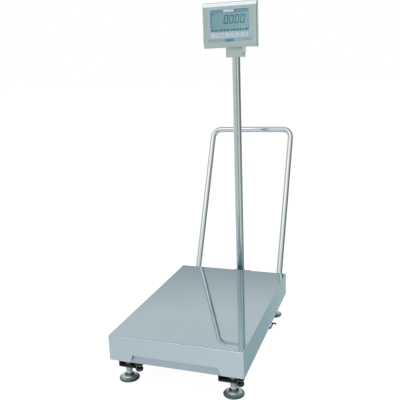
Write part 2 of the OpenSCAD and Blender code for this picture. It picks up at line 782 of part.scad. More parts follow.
key(3);  // key_4
key(4);  // key_5
key(5);  // key_6
key(6);  // key_long_right
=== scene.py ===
import bmesh
import bpy
import json
import math
from mathutils import Matrix, Vector

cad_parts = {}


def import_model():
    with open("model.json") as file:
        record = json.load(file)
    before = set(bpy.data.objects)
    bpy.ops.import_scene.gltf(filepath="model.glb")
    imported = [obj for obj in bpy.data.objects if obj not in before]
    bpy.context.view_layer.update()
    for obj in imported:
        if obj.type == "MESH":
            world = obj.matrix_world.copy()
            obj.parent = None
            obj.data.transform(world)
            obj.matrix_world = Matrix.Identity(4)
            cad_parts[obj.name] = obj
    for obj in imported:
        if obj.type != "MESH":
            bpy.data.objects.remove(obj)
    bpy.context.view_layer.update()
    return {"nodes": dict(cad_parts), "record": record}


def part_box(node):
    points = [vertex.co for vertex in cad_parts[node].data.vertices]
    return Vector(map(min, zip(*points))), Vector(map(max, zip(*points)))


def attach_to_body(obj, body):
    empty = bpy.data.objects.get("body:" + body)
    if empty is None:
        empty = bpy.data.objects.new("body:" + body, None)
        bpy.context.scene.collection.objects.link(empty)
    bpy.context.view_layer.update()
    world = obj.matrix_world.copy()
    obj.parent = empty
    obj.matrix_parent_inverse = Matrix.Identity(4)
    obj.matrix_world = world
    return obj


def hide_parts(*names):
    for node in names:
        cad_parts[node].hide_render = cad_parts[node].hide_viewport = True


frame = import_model()

MM = 0.001
SY = -210.0                      # platform middle, row frame
PI = math.pi
scene = bpy.context.scene


# ------------------------------------------------------------------ nodes
class Mat:
    """Small helper that keeps the node code short."""

    def __init__(self, name):
        self.mat = bpy.data.materials.new(name)
        self.mat.use_nodes = True
        self.t = self.mat.node_tree
        self.t.nodes.clear()
        self.out = self.t.nodes.new("ShaderNodeOutputMaterial")
        self._obj = None

    def node(self, kind, **kw):
        n = self.t.nodes.new(kind)
        for k, v in kw.items():
            setattr(n, k, v)
        return n

    def put(self, socket, value):
        if hasattr(value, "is_output"):
            self.t.links.new(value, socket)
        else:
            socket.default_value = value

    def coords(self):
        if self._obj is None:
            self._obj = self.node("ShaderNodeTexCoord").outputs["Object"]
        return self._obj

    def attr(self, name):
        n = self.node("ShaderNodeAttribute", attribute_name=name)
        return n.outputs["Fac"]

    def scale(self, vec, s, rot=(0, 0, 0), loc=(0, 0, 0)):
        n = self.node("ShaderNodeMapping")
        self.put(n.inputs["Vector"], vec)
        n.inputs["Scale"].default_value = s
        n.inputs["Rotation"].default_value = rot
        n.inputs["Location"].default_value = loc
        return n.outputs[0]

    def noise(self, vec, scale=1.0, detail=3.0, rough=0.5, dist=0.0):
        n = self.node("ShaderNodeTexNoise")
        self.put(n.inputs["Vector"], vec)
        n.inputs["Scale"].default_value = scale
        n.inputs["Detail"].default_value = detail
        n.inputs["Roughness"].default_value = rough
        n.inputs["Distortion"].default_value = dist
        return n.outputs["Fac"]

    def voronoi(self, vec, scale, feature="F1"):
        n = self.node("ShaderNodeTexVoronoi", feature=feature)
        self.put(n.inputs["Vector"], vec)
        n.inputs["Scale"].default_value = scale
        return n.outputs["Distance"]

    def math(self, op, a, b=None, c=None, clamp=False):
        n = self.node("ShaderNodeMath", operation=op, use_clamp=clamp)
        self.put(n.inputs[0], a)
        if b is not None:
            self.put(n.inputs[1], b)
        if c is not None:
            self.put(n.inputs[2], c)
        return n.outputs[0]

    def remap(self, v, a, b, c, d):
        n = self.node("ShaderNodeMapRange", clamp=True)
        self.put(n.inputs[0], v)
        for i, x in enumerate((a, b, c, d)):
            n.inputs[i + 1].default_value = x
        return n.outputs[0]

    def ramp(self, fac, stops, interp="LINEAR"):
        n = self.node("ShaderNodeValToRGB")
        self.put(n.inputs[0], fac)
        r = n.color_ramp
        r.interpolation = interp
        while len(r.elements) > 1:
            r.elements.remove(r.elements[-1])
        r.elements[0].position = stops[0][0]
        r.elements[0].color = col(stops[0][1])
        for p, c in stops[1:]:
            e = r.elements.new(p)
            e.color = col(c)
        return n.outputs[0]

    def mix(self, fac, a, b, mode="MIX"):
        n = self.node("ShaderNodeMix", data_type="RGBA", blend_type=mode)
        self.put(n.inputs[0], fac)
        self.put(n.inputs[6], col(a) if isinstance(a, tuple) else a)
        self.put(n.inputs[7], col(b) if isinstance(b, tuple) else b)
        return n.outputs[2]

    def fmix(self, fac, a, b):
        n = self.node("ShaderNodeMix", data_type="FLOAT")
        self.put(n.inputs[0], fac)
        self.put(n.inputs[2], a)
        self.put(n.inputs[3], b)
        return n.outputs[0]

    def xyz(self, vec):
        n = self.node("ShaderNodeSeparateXYZ")
        self.put(n.inputs[0], vec)
        return n.outputs

    def combine(self, x, y, z):
        n = self.node("ShaderNodeCombineXYZ")
        for i, v in enumerate((x, y, z)):
            self.put(n.inputs[i], v)
        return n.outputs[0]

    def bump(self, height, strength, dist, normal=None):
        n = self.node("ShaderNodeBump")
        self.put(n.inputs["Height"], height)
        n.inputs["Strength"].default_value = strength
        n.inputs["Distance"].default_value = dist
        if normal is not None:
            self.put(n.inputs["Normal"], normal)
        return n.outputs[0]

    def edges(self, radius=0.0012, samples=4):
        """1 on convex edges, 0 on flats."""
        b = self.node("ShaderNodeBevel", samples=samples)
        b.inputs["Radius"].default_value = radius
        g = self.node("ShaderNodeNewGeometry")
        d = self.node("ShaderNodeVectorMath", operation="DOT_PRODUCT")
        self.put(d.inputs[0], b.outputs[0])
        self.put(d.inputs[1], g.outputs["Normal"])
        return self.remap(d.outputs["Value"], 0.995, 0.86, 0.0, 1.0)

    def principled(self, **kw):
        n = self.node("ShaderNodeBsdfPrincipled")
        for k, v in kw.items():
            self.put(n.inputs[k.replace("_", " ")], col(v) if isinstance(v, tuple) and len(v) == 3 and "Color" in k.replace("_", " ") else v)
        return n

    def surface(self, shader):
        self.put(self.out.inputs["Surface"], shader.outputs[0] if hasattr(shader, "outputs") else shader)
        return self.mat

    def mixshader(self, fac, a, b):
        n = self.node("ShaderNodeMixShader")
        self.put(n.inputs[0], fac)
        self.put(n.inputs[1], a.outputs[0] if hasattr(a, "outputs") else a)
        self.put(n.inputs[2], b.outputs[0] if hasattr(b, "outputs") else b)
        return n.outputs[0]


def col(c):
    if isinstance(c, (int, float)):
        return (c, c, c, 1.0)
    return tuple(c) + (1.0,) if len(c) == 3 else tuple(c)


def srgb(r, g, b):
    return tuple((v / 255 / 12.92) if v / 255 <= 0.04045 else ((v / 255 + 0.055) / 1.055) ** 2.4 for v in (r, g, b))


# -------------------------------------------------------------- materials
def steel_plate():
    """Hairline-polished stainless sheet: the grain runs along the platform and down its front."""
    m = Mat("stainless_top")
    p = m.coords()
    fine_a = m.noise(m.scale(p, (2600, 18, 18)), 1.0, 4, 0.7)
    fine_b = m.noise(m.scale(p, (18, 14, 2600)), 1.0, 4, 0.7)
    wide_a = m.noise(m.scale(p, (240, 2.2, 3)), 1.0, 3, 0.6)
    wide_b = m.noise(m.scale(p, (3, 2.2, 240)), 1.0, 3, 0.6)
    g = m.node("ShaderNodeNewGeometry")
    nx = m.math("ABSOLUTE", m.xyz(g.outputs["True Normal"])[0])
    side = m.math("GREATER_THAN", nx, 0.6)
    fine = m.fmix(side, fine_a, fine_b)
    wide = m.fmix(side, wide_a, wide_b)
    cloud = m.noise(p, 5.5, 4, 0.55, 0.4)
    smear = m.noise(m.scale(p, (9, 3.2, 9), (0, 0, 0.5)), 1.0, 5, 0.6, 1.2)
    tone = m.mix(m.remap(wide, 0.3, 0.7, 0, 1), PLATE_A, PLATE_B)
    tone = m.mix(m.remap(cloud, 0.35, 0.7, 0, 0.55), tone, PLATE_C)
    tone = m.mix(m.remap(fine, 0.35, 0.8, 0, 0.16), tone, (0.86, 0.92, 0.95))
    # painted shade: top faces grow darker and bluer towards the rear of the platform
    painted_rear_shade = m.math("MULTIPLY", m.remap(m.xyz(p)[1], -0.12, 0.17, 0.0, 1.0), m.math("SUBTRACT", 1.0, side))
    tone = m.mix(painted_rear_shade, tone, m.mix(1.0, tone, (0.86, 0.93, 0.955), "MULTIPLY"))
    nrm = m.bump(m.math("ADD", m.math("MULTIPLY", fine, 0.35), m.math("MULTIPLY", wide, 0.35)), 0.034, 0.0004)
    nrm = m.bump(m.noise(p, 3.2, 1, 0.4), 0.02, 0.0035, nrm)
    rough = m.math("ADD", m.remap(smear, 0.3, 0.75, 0.30, 0.36), m.math("MULTIPLY", fine, 0.08))
    soft = m.principled(Base_Color=tone, Metallic=1.0, Roughness=rough, Normal=nrm)
    sharp_rough = m.remap(smear, 0.3, 0.8, 0.018, 0.045)
    clear = m.principled(Base_Color=tone, Metallic=1.0, Roughness=sharp_rough, Normal=nrm)
    fac = m.remap(smear, 0.25, 0.8, 0.84, 0.74)
    # painted highlight: a pale cream metal is mixed onto upward-facing rounded edges, giving the bright line along the
    # top front edge
    edge = m.math("MULTIPLY", m.edges(0.0016), m.remap(m.xyz(g.outputs["Normal"])[2], 0.15, 0.6, 0.0, 1.0))
    bright = m.principled(Base_Color=(0.95, 0.96, 0.87), Metallic=1.0, Roughness=0.32)
    return m.surface(m.mixshader(m.math("MULTIPLY", edge, 0.42), m.mixshader(fac, soft, clear), bright))


def steel_tube(name, ta, tb, tc):
    """Polished tube with fine lines that follow it; reads the arc length and angle kept on each tube's mesh."""
    m = Mat(name)
    v = m.combine(m.math("MULTIPLY", m.attr("tube_c"), 9.0), m.math("MULTIPLY", m.attr("tube_n"), 9.0), m.math("MULTIPLY", m.attr("tube_s"), 3.0))
    line = m.noise(v, 5.0, 4, 0.65)
    ring = m.noise(m.combine(m.attr("tube_c"), m.attr("tube_n"), m.math("MULTIPLY", m.attr("tube_s"), 900.0)), 1.0, 3, 0.6)
    smear = m.noise(m.coords(), 14.0, 4, 0.6, 0.6)
    tone = m.mix(m.remap(line, 0.3, 0.75, 0, 1), ta, tb)
    tone = m.mix(m.remap(smear, 0.45, 0.8, 0, 0.5), tone, tc)
    rough = m.math("ADD", m.remap(smear, 0.3, 0.8, 0.05, 0.10), m.math("MULTIPLY", line, 0.05))
    nrm = m.bump(m.math("ADD", m.math("MULTIPLY", line, 0.6), m.math("MULTIPLY", ring, 0.25)), 0.05, 0.0003)
    return m.surface(m.principled(Base_Color=tone, Metallic=1.0, Roughness=rough, Normal=nrm))


def steel_case():
    """Satin stainless of the indicator and its bracket: fine level grain, slightly warm."""
    m = Mat("stainless_case")
    p = m.coords()
    fine = m.noise(m.scale(p, (14, 60, 2400)), 1.0, 4, 0.7)
    wide = m.noise(m.scale(p, (5, 20, 260)), 1.0, 3, 0.6)
    cloud = m.noise(p, 22.0, 4, 0.6, 0.5)
    tone = m.mix(m.remap(wide, 0.3, 0.7, 0, 1), CASE_A, CASE_B)
    tone = m.mix(m.remap(cloud, 0.4, 0.75, 0, 0.6), tone, CASE_C)
    rough = m.math("ADD", m.remap(cloud, 0.3, 0.8, 0.15, 0.22), m.math("MULTIPLY", fine, 0.10))
    nrm = m.bump(m.math("ADD", m.math("MULTIPLY", fine, 0.5), m.math("MULTIPLY", wide, 0.4)), 0.06, 0.0004)
    g = m.node("ShaderNodeNewGeometry")
    n = m.xyz(g.outputs["Normal"])
    # painted highlight: pale metal is mixed onto downward-facing rounded edges
    edge = m.math("MULTIPLY", m.edges(0.0009), m.remap(n[2], -0.5, -0.1, 0.6, 0.0))
    # painted reflection: dark green is mixed onto the rounded front-right corners
    turn = m.math("MULTIPLY", m.remap(n[0], 0.15, 0.30, 0.0, 1.0), m.remap(n[1], -0.30, -0.10, 1.0, 0.0))
    # painted shade: faces turned to the right (+X) are darkened
    tone = m.mix(m.remap(n[0], 0.6, 0.9, 0.0, 1.0), tone, m.mix(1.0, tone, (0.76, 0.83, 0.82), "MULTIPLY"))
    tone = m.mix(m.math("MULTIPLY", turn, 0.65), tone, (0.08, 0.15, 0.13))
    body = m.principled(Base_Color=tone, Metallic=1.0, Roughness=rough, Normal=nrm)
    bright = m.principled(Base_Color=(0.88, 0.92, 0.90), Metallic=1.0, Roughness=0.25)
    return m.surface(m.mixshader(m.math("MULTIPLY", edge, 0.4), body, bright))


def steel_end():
    """Matt mill-finish sheet of the end plates."""
    m = Mat("end_plate")
    p = m.coords()
    fine = m.noise(m.scale(p, (30, 200, 1500)), 1.0, 4, 0.7)
    cloud = m.noise(m.scale(p, (16, 16, 34)), 1.0, 5, 0.6, 0.8)
    tone = m.mix(m.remap(cloud, 0.3, 0.72, 0, 1), END_A, END_B)
    rough = m.remap(cloud, 0.3, 0.8, 0.40, 0.56)
    nrm = m.bump(fine, 0.10, 0.0005)
    # painted highlight: edges are mixed towards a pale steel colour
    edge = m.edges(0.001)
    tone = m.mix(m.math("MULTIPLY", edge, 0.5), tone, (0.80, 0.85, 0.88))
    return m.surface(m.principled(Base_Color=tone, Metallic=1.0, Roughness=rough, Normal=nrm))


def black_paint():
    """Black stoving paint with orange peel, dust on top faces and bare metal on worn edges."""
    m = Mat("black_frame")
    p = m.coords()
    peel = m.noise(p, 520.0, 2, 0.5)
    cloud = m.noise(p, 30.0, 5, 0.65, 0.5)
    g = m.node("ShaderNodeNewGeometry")
    up = m.remap(m.xyz(g.outputs["Normal"])[2], 0.3, 1.0, 0.0, 0.25)
    tone = m.mix(m.remap(cloud, 0.35, 0.7, 0, 1), (0.014, 0.017, 0.017), (0.046, 0.043, 0.037))
    tone = m.mix(m.math("MULTIPLY", up, cloud), tone, (0.22, 0.22, 0.21))
    wear = m.math("MULTIPLY", m.edges(0.0014), m.remap(m.noise(p, 160.0, 3, 0.6), 0.38, 0.62, 0.35, 1.0))
    paint = m.principled(Base_Color=tone, Roughness=m.remap(cloud, 0.3, 0.8, 0.26, 0.48), Normal=m.bump(peel, 0.14, 0.0004), IOR=1.5)
    bare = m.principled(Base_Color=(0.42, 0.53, 0.53), Metallic=1.0, Roughness=0.36)
    return m.surface(m.mixshader(m.math("MULTIPLY", wear, 0.8), paint, bare))


def zinc():
    """Bright zinc plating with faint blue and straw patches."""
    m = Mat("zinc")
    p = m.coords()
    cloud = m.noise(p, 65.0, 5, 0.6, 0.8)
    fine = m.noise(p, 1800.0, 2, 0.6)
    tone = m.ramp(cloud, [(0.30, (0.50, 0.60, 0.66)), (0.50, (0.62, 0.68, 0.70)), (0.70, (0.66, 0.66, 0.60))])
    # painted highlight: edges are mixed towards near-white
    tone = m.mix(m.math("MULTIPLY", m.edges(0.0008), 0.5), tone, (0.86, 0.88, 0.88))
    return m.surface(m.principled(Base_Color=tone, Metallic=1.0, Roughness=m.remap(cloud, 0.3, 0.8, 0.22, 0.38), Normal=m.bump(fine, 0.10, 0.0002)))


def bright_bolt():
    """Satin bright plating of the clamp bolt."""
    m = Mat("zinc_bright")
    p = m.coords()
    cloud = m.noise(p, 140.0, 4, 0.6, 0.6)
    tone = m.mix(m.remap(cloud, 0.3, 0.7, 0, 1), (0.70, 0.76, 0.77), (0.80, 0.85, 0.85))
    return m.surface(m.principled(Base_Color=tone, Metallic=0.2, Roughness=m.remap(cloud, 0.3, 0.8, 0.38, 0.52)))


def stem_metal():
    m = Mat("zinc_stem")
    p = m.coords()
    cloud = m.noise(p, 90.0, 5, 0.6, 0.8)
    tone = m.ramp(cloud, [(0.30, STEM_A), (0.55, STEM_B), (0.75, STEM_A)])
    grime = m.math("MULTIPLY", m.remap(m.noise(p, 300.0, 3, 0.6), 0.5, 0.7, 0, 0.35), 1.0)
    tone = m.mix(grime, tone, (0.20, 0.22, 0.22))
    return m.surface(m.principled(Base_Color=tone, Metallic=0.82, Roughness=m.remap(cloud, 0.3, 0.8, 0.40, 0.58)))


def foot_metal():
    """Pressed and polished foot pad: spinning rings from its lathe finish, with painted rings of shade and highlight: a
    dark centre, a bright band and a darker skirt.
    """
    m = Mat("foot_metal")
    p = m.coords()
    s = m.attr("ring_r")
    ring = m.noise(m.combine(m.math("MULTIPLY", s, 2600.0), 0.0, 0.0), 1.0, 4, 0.7)
    cloud = m.noise(p, 60.0, 4, 0.6, 0.6)
    # painted shade and highlight in rings about the stem: dark centre under the stem, a bright highlight band, a mid
    # tone, then a dark rim
    tone = m.ramp(m.remap(s, 0.0, 0.040, 0.0, 1.0), [(0.0, (0.10, 0.14, 0.14)), (0.46, (0.12, 0.17, 0.17)), (0.54, FOOT_PAINTED_HIGHLIGHT), (0.64, FOOT_PAINTED_HIGHLIGHT), (0.72, FOOT_A), (0.80, FOOT_A), (0.87, (0.15, 0.21, 0.22)), (0.93, (0.07, 0.11, 0.115)), (1.0, (0.07, 0.11, 0.115))])
    tone = m.mix(m.remap(cloud, 0.3, 0.75, 0, 0.3), tone, FOOT_A)
    rough = m.math("ADD", m.remap(cloud, 0.3, 0.8, 0.28, 0.36), m.math("MULTIPLY", ring, 0.08))
    return m.surface(m.principled(Base_Color=tone, Metallic=0.85, Roughness=rough, Normal=m.bump(ring, 0.12, 0.0003)))


def rubber():
    m = Mat("rubber_black")
    p = m.coords()
    grain = m.voronoi(p, 900.0)
    cloud = m.noise(p, 45.0, 4, 0.6)
    tone = m.mix(m.remap(cloud, 0.35, 0.75, 0, 1), (0.010, 0.020, 0.021), (0.026, 0.048, 0.048))
    # painted highlight: edges are mixed towards a lighter teal
    tone = m.mix(m.math("MULTIPLY", m.edges(0.0012), 0.4), tone, (0.08, 0.15, 0.15))
    return m.surface(m.principled(Base_Color=tone, Roughness=m.remap(cloud, 0.3, 0.8, 0.42, 0.66), Normal=m.bump(grain, 0.16, 0.0003)))


def aluminium():
    m = Mat("aluminium")
    p = m.coords()
    mill = m.noise(m.scale(p, (40, 900, 900)), 1.0, 3, 0.7)
    cloud = m.noise(p, 30.0, 3, 0.6)
    tone = m.mix(m.remap(cloud, 0.3, 0.7, 0, 1), (0.70, 0.72, 0.74), (0.82, 0.83, 0.84))
    return m.surface(m.principled(Base_Color=tone, Metallic=1.0, Roughness=m.remap(mill, 0.3, 0.7, 0.22, 0.40), Normal=m.bump(mill, 0.12, 0.0004)))


def overlay_film(name, a, b, rough=0.38):
    """Printed polyester film: fine sand texture under a slight sheen."""
    m = Mat(name)
    p = m.coords()
    sand = m.noise(p, 2600.0, 2, 0.6)
    cloud = m.noise(p, 26.0, 4, 0.6)
    tone = m.mix(m.remap(cloud, 0.3, 0.75, 0, 1), a, b)
    tone = m.mix(m.remap(sand, 0.4, 0.8, 0, 0.10), tone, (1.0, 1.0, 1.0))
    return m.surface(m.principled(Base_Color=tone, Roughness=m.remap(cloud, 0.3, 0.8, rough, rough + 0.12), Normal=m.bump(sand, 0.08, 0.0002), IOR=1.45))


def lcd_face():
    """Reflective display: greenish on the left and bluer on the right as painted reflection, with a faint dot
    structure.
    """
    m = Mat("lcd")
    p = m.coords()
    s = m.xyz(p)
    # painted reflection: the display goes from greenish on the left to bluer on the right, and greener towards its foot
    across = m.remap(s[0], -0.085, 0.085, 0.0, 1.0)
    tone = m.mix(across, LCD_A, LCD_B)
    down = m.remap(s[2], 1.262, 1.345, 0.0, 1.0)
    tone = m.mix(m.math("MULTIPLY", m.math("SUBTRACT", 1.0, down), 0.25), tone, LCD_C)
    cell = m.noise(p, 3200.0, 1, 0.5)
    tone = m.mix(m.remap(cell, 0.35, 0.65, 0, 0.10), tone, (0.12, 0.18, 0.18))
    return m.surface(m.principled(Base_Color=tone, Roughness=0.42, IOR=1.4))


def ink(name, c, rough=0.5):
    m = Mat(name)
    p = m.coords()
    cloud = m.noise(p, 700.0, 2, 0.6)
    tone = m.mix(m.remap(cloud, 0.3, 0.7, 0, 0.5), c, tuple(min(1.0, x * 1.35 + 0.01) for x in c))
    return m.surface(m.principled(Base_Color=tone, Roughness=m.remap(cloud, 0.3, 0.7, rough, rough + 0.1)))


def window_glass():
    m = Mat("lcd_glass")
    p = m.coords()
    smear = m.noise(m.scale(p, (40, 40, 24), (0, 0.4, 0)), 1.0, 5, 0.6, 1.0)
    gl = m.node("ShaderNodeBsdfGlossy")
    gl.inputs["Color"].default_value = (0.9, 0.97, 1.0, 1)
    m.put(gl.inputs["Roughness"], m.remap(smear, 0.3, 0.8, 0.03, 0.12))
    tr = m.node("ShaderNodeBsdfTransparent")
    tr.inputs["Color"].default_value = (0.93, 0.97, 0.98, 1)
    fr = m.node("ShaderNodeFresnel")
    fr.inputs["IOR"].default_value = 1.32
    return m.surface(m.mixshader(m.math("MULTIPLY", fr.outputs[0], m.remap(smear, 0.3, 0.8, 0.8, 1.1)), tr, gl))


def board():
    m = Mat("board")
    p = m.coords()
    br = m.node("ShaderNodeTexBrick")
    m.put(br.inputs["Vector"], m.scale(p, (1, 1, 1), (PI / 2, 0, 0)))
    br.inputs["Scale"].default_value = 90.0
    br.inputs["Mortar Size"].default_value = 0.05
    tone = m.mix(m.remap(br.outputs["Fac"], 0, 1, 0, 0.6), (0.02, 0.13, 0.06), (0.05, 0.26, 0.12))
    return m.surface(m.principled(Base_Color=tone, Roughness=0.3, Normal=m.bump(br.outputs["Fac"], 0.2, 0.0002)))


def battery_wrap():
    m = Mat("battery")
    p = m.coords()
    cloud = m.noise(p, 80.0, 3, 0.6)
    tone = m.mix(m.remap(cloud, 0.3, 0.7, 0, 1), (0.03, 0.05, 0.16), (0.06, 0.08, 0.22))
    return m.surface(m.principled(Base_Color=tone, Roughness=m.remap(cloud, 0.3, 0.7, 0.22, 0.4), Normal=m.bump(m.noise(p, 400.0, 3, 0.6), 0.15, 0.0004)))


def vial_fluid():
    m = Mat("vial")
    p = m.coords()
    cloud = m.noise(p, 120.0, 2, 0.5)
    tone = m.mix(cloud, (0.42, 0.62, 0.06), (0.62, 0.80, 0.12))
    return m.surface(m.principled(Base_Color=tone, Roughness=0.08, Transmission_Weight=0.55, IOR=1.4))


PLATE_A, PLATE_B, PLATE_C = (0.540, 0.680, 0.730), (0.573, 0.713, 0.763), (0.533, 0.683, 0.71)
CASE_A, CASE_B, CASE_C = (0.54, 0.655, 0.60), (0.63, 0.735, 0.68), (0.57, 0.68, 0.66)
END_A, END_B = (0.495, 0.605, 0.68), (0.595, 0.705, 0.775)
STEM_A, STEM_B = (0.62, 0.70, 0.73), (0.78, 0.85, 0.88)
FOOT_A, FOOT_PAINTED_HIGHLIGHT = (0.38, 0.48, 0.50), (0.72, 0.84, 0.86)
LCD_A, LCD_B, LCD_C = (0.29, 0.475, 0.47), (0.39, 0.565, 0.625), (0.28, 0.49, 0.44)

M = {
    "stainless_top": steel_plate(),
    "stainless_tube": steel_tube("stainless_tube", (0.62, 0.735, 0.74), (0.72, 0.83, 0.835), (0.56, 0.69, 0.685)),
    "stainless_guard": steel_tube("stainless_guard", (0.69, 0.745, 0.735), (0.77, 0.82, 0.805), (0.64, 0.70, 0.685)),
    "stainless_case": steel_case(),
    "end_plate": steel_end(),
    "black_frame": black_paint(),
    "zinc": zinc(),
    "foot_metal": foot_metal(),
    "rubber_black": rubber(),
    "aluminium": aluminium(),
    "overlay": overlay_film("overlay", (0.225, 0.305, 0.335), (0.265, 0.345, 0.375)),
    "key_white": overlay_film("key_white", (0.34, 0.42, 0.46), (0.39, 0.47, 0.50), 0.32),
    "lcd_glass": window_glass(),
    "lcd": lcd_face(),
    "board": board(),
    "battery": battery_wrap(),
    "vial": vial_fluid(),
}
STEM = stem_metal()
BRIGHT_BOLT = bright_bolt()
INK_DARK = ink("ink_display", (0.030, 0.075, 0.085))
INK_MID = ink("ink_display_mid", (0.060, 0.115, 0.125))
INK_GHOST = ink("ink_display_faint", (0.085, 0.155, 0.165))
INK_STRIP = overlay_film("ink_strip", (0.17, 0.25, 0.28), (0.20, 0.28, 0.31))
INK_FRAME = overlay_film("ink_frame", (0.225, 0.35, 0.40), (0.25, 0.38, 0.43))
INK_BLUE = overlay_film("ink_blue", (0.010, 0.135, 0.26), (0.018, 0.175, 0.33), 0.42)
INK_MARK = overlay_film("ink_mark", (0.17, 0.24, 0.27), (0.20, 0.27, 0.30))
INK_PALE = overlay_film("ink_pale", (0.34, 0.41, 0.45), (0.38, 0.45, 0.49))


# --------------------------------------------------------------- geometry
def finish_mesh(me, sharp=35):
    me.polygons.foreach_set("use_smooth", [True] * len(me.polygons))
    me.set_sharp_from_angle(angle=math.radians(sharp))
    me.update()


def attach(o, body, replaces=()):
    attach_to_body(o, body)
    if replaces:
        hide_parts(*replaces)
    return o


OWN = []


def from_bm(name, bm, mat, sharp=35):
    bmesh.ops.remove_doubles(bm, verts=bm.verts, dist=1e-7)
    bmesh.ops.recalc_face_normals(bm, faces=bm.faces)
    me = bpy.data.meshes.new(name)
    bm.to_mesh(me)
    bm.free()
    me.materials.append(mat)
    finish_mesh(me, sharp)
    o = bpy.data.objects.new(name, me)
    scene.collection.objects.link(o)
    OWN.append(o.name)
    return o


def even_normals():
    """Large flat faces keep their own normal; only the narrow rounded edges turn it."""
    for n in sorted(set(OWN)):
        o = bpy.data.objects.get(n)
        if o is not None:
            w = o.modifiers.new("even_normals", "WEIGHTED_NORMAL")
            w.mode = "FACE_AREA"
            w.weight = 100
            w.keep_sharp = True


def add_geo(bm, verts, faces, matrix=None):
    """verts in millimetres."""
    vs = []
    for v in verts:
        p = Vector(v) * MM
        vs.append(bm.verts.new(matrix @ p if matrix else p))
    for f in faces:
        idx = list(dict.fromkeys(f))
        if len(idx) > 2:
            try:
                bm.faces.new([vs[i] for i in idx])
            except ValueError:
                pass
    return vs


def lathe(profile, seg=72, closed=False, c=(0, 0, 0)):
    """Turned solid about Z from (radius, height) pairs; closed joins the last ring to the first."""
    verts, rings = [], []
    for r, z in profile:
        if r < 1e-6:
            rings.append([len(verts)])
            verts.append((c[0], c[1], c[2] + z))
        else:
            rings.append(list(range(len(verts), len(verts) + seg)))
            for k in range(seg):
                a = 2 * PI * k / seg
                verts.append((c[0] + r * math.cos(a), c[1] + r * math.sin(a), c[2] + z))
    pairs = list(zip(rings, rings[1:])) + ([(rings[-1], rings[0])] if closed else [])
    faces = []
    for a, b in pairs:
        if len(a) == 1 and len(b) == 1:
            continue
        for k in range(seg):
            j = (k + 1) % seg
            if len(a) == 1:
                faces.append((a[0], b[j], b[k]))
            elif len(b) == 1:
                faces.append((a[k], a[j], b[0]))
            else:
                faces.append((a[k], a[j], b[j], b[k]))
    return verts, faces


def turn_to(axis):
    """Rotation that takes +Z to the axis."""
    return Vector((0, 0, 1)).rotation_difference(Vector(axis)).to_matrix().to_4x4()


def at(pos, axis=(0, 0, 1), spin=0.0):
    return Matrix.Translation(Vector(pos) * MM) @ turn_to(axis) @ Matrix.Rotation(spin, 4, "Z")


def rrect(w, h, r, n=6):
    pts = []
    for cx, cy, a0 in ((w / 2 - r, h / 2 - r, 0), (-w / 2 + r, h / 2 - r, PI / 2), (-w / 2 + r, -h / 2 + r, PI), (w / 2 - r, -h / 2 + r, 1.5 * PI)):
        for k in range(n + 1):
            a = a0 + PI / 2 * k / n
            pts.append((cx + r * math.cos(a), cy + r * math.sin(a)))
    return pts


def prism(poly, t0, t1, plane="XZ"):
    """Polygon drawn in a plane and pushed from t0 to t1 along the third axis."""
    def p(u, v, t):
        return {"XZ": (u, t, v), "XY": (u, v, t), "YZ": (t, u, v)}[plane]
    n = len(poly)
    verts = [p(u, v, t0) for u, v in poly] + [p(u, v, t1) for u, v in poly]
    faces = [tuple(range(n))[::-1], tuple(range(n, 2 * n))]
    faces += [(k, (k + 1) % n, n + (k + 1) % n, n + k) for k in range(n)]
    return verts, faces


def boxgeo(lo, hi):
    return prism([(lo[0], lo[1]), (hi[0], lo[1]), (hi[0], hi[1]), (lo[0], hi[1])], lo[2], hi[2], "XY")


def soften(bm, offset, segments=3, angle=30):
    """Rounds every edge sharper than the angle; offset in millimetres."""
    bmesh.ops.remove_doubles(bm, verts=bm.verts, dist=1e-7)
    bmesh.ops.recalc_face_normals(bm, faces=bm.faces)
    es = [e for e in bm.edges if len(e.link_faces) == 2 and e.calc_face_angle(0) > math.radians(angle)]
    bmesh.ops.bevel(bm, geom=es, offset=offset * MM, segments=segments, profile=0.5, affect="EDGES", clamp_overlap=True)


def cut(o, cutters):
    """Takes the cutters' meshes out of o and removes them."""
    for c in cutters:
        m = o.modifiers.new("cut", "BOOLEAN")
        m.operation = "DIFFERENCE"
        m.solver = "EXACT"
        m.object = c
    bpy.context.view_layer.update()
    ev = o.evaluated_get(bpy.context.evaluated_depsgraph_get())
    me = bpy.data.meshes.new_from_object(ev)
    mats = [s for s in o.data.materials]
    o.modifiers.clear()
    o.data = me
    while len(me.materials) > len(mats):
        me.materials.pop()
    if not me.materials:
        for s in mats:
            me.materials.append(s)
    for p in me.polygons:
        p.material_index = 0
    for c in cutters:
        bpy.data.objects.remove(c)
    finish_mesh(me, 32)
    return o


def tube_attrs(me, samples):
    """samples: per vertex (arc length, cos, sin)."""
    for i, n in enumerate(("tube_s", "tube_c", "tube_n")):
        a = me.attributes.new(n, "FLOAT", "POINT")
        a.data.foreach_set("value", [s[i] for s in samples])


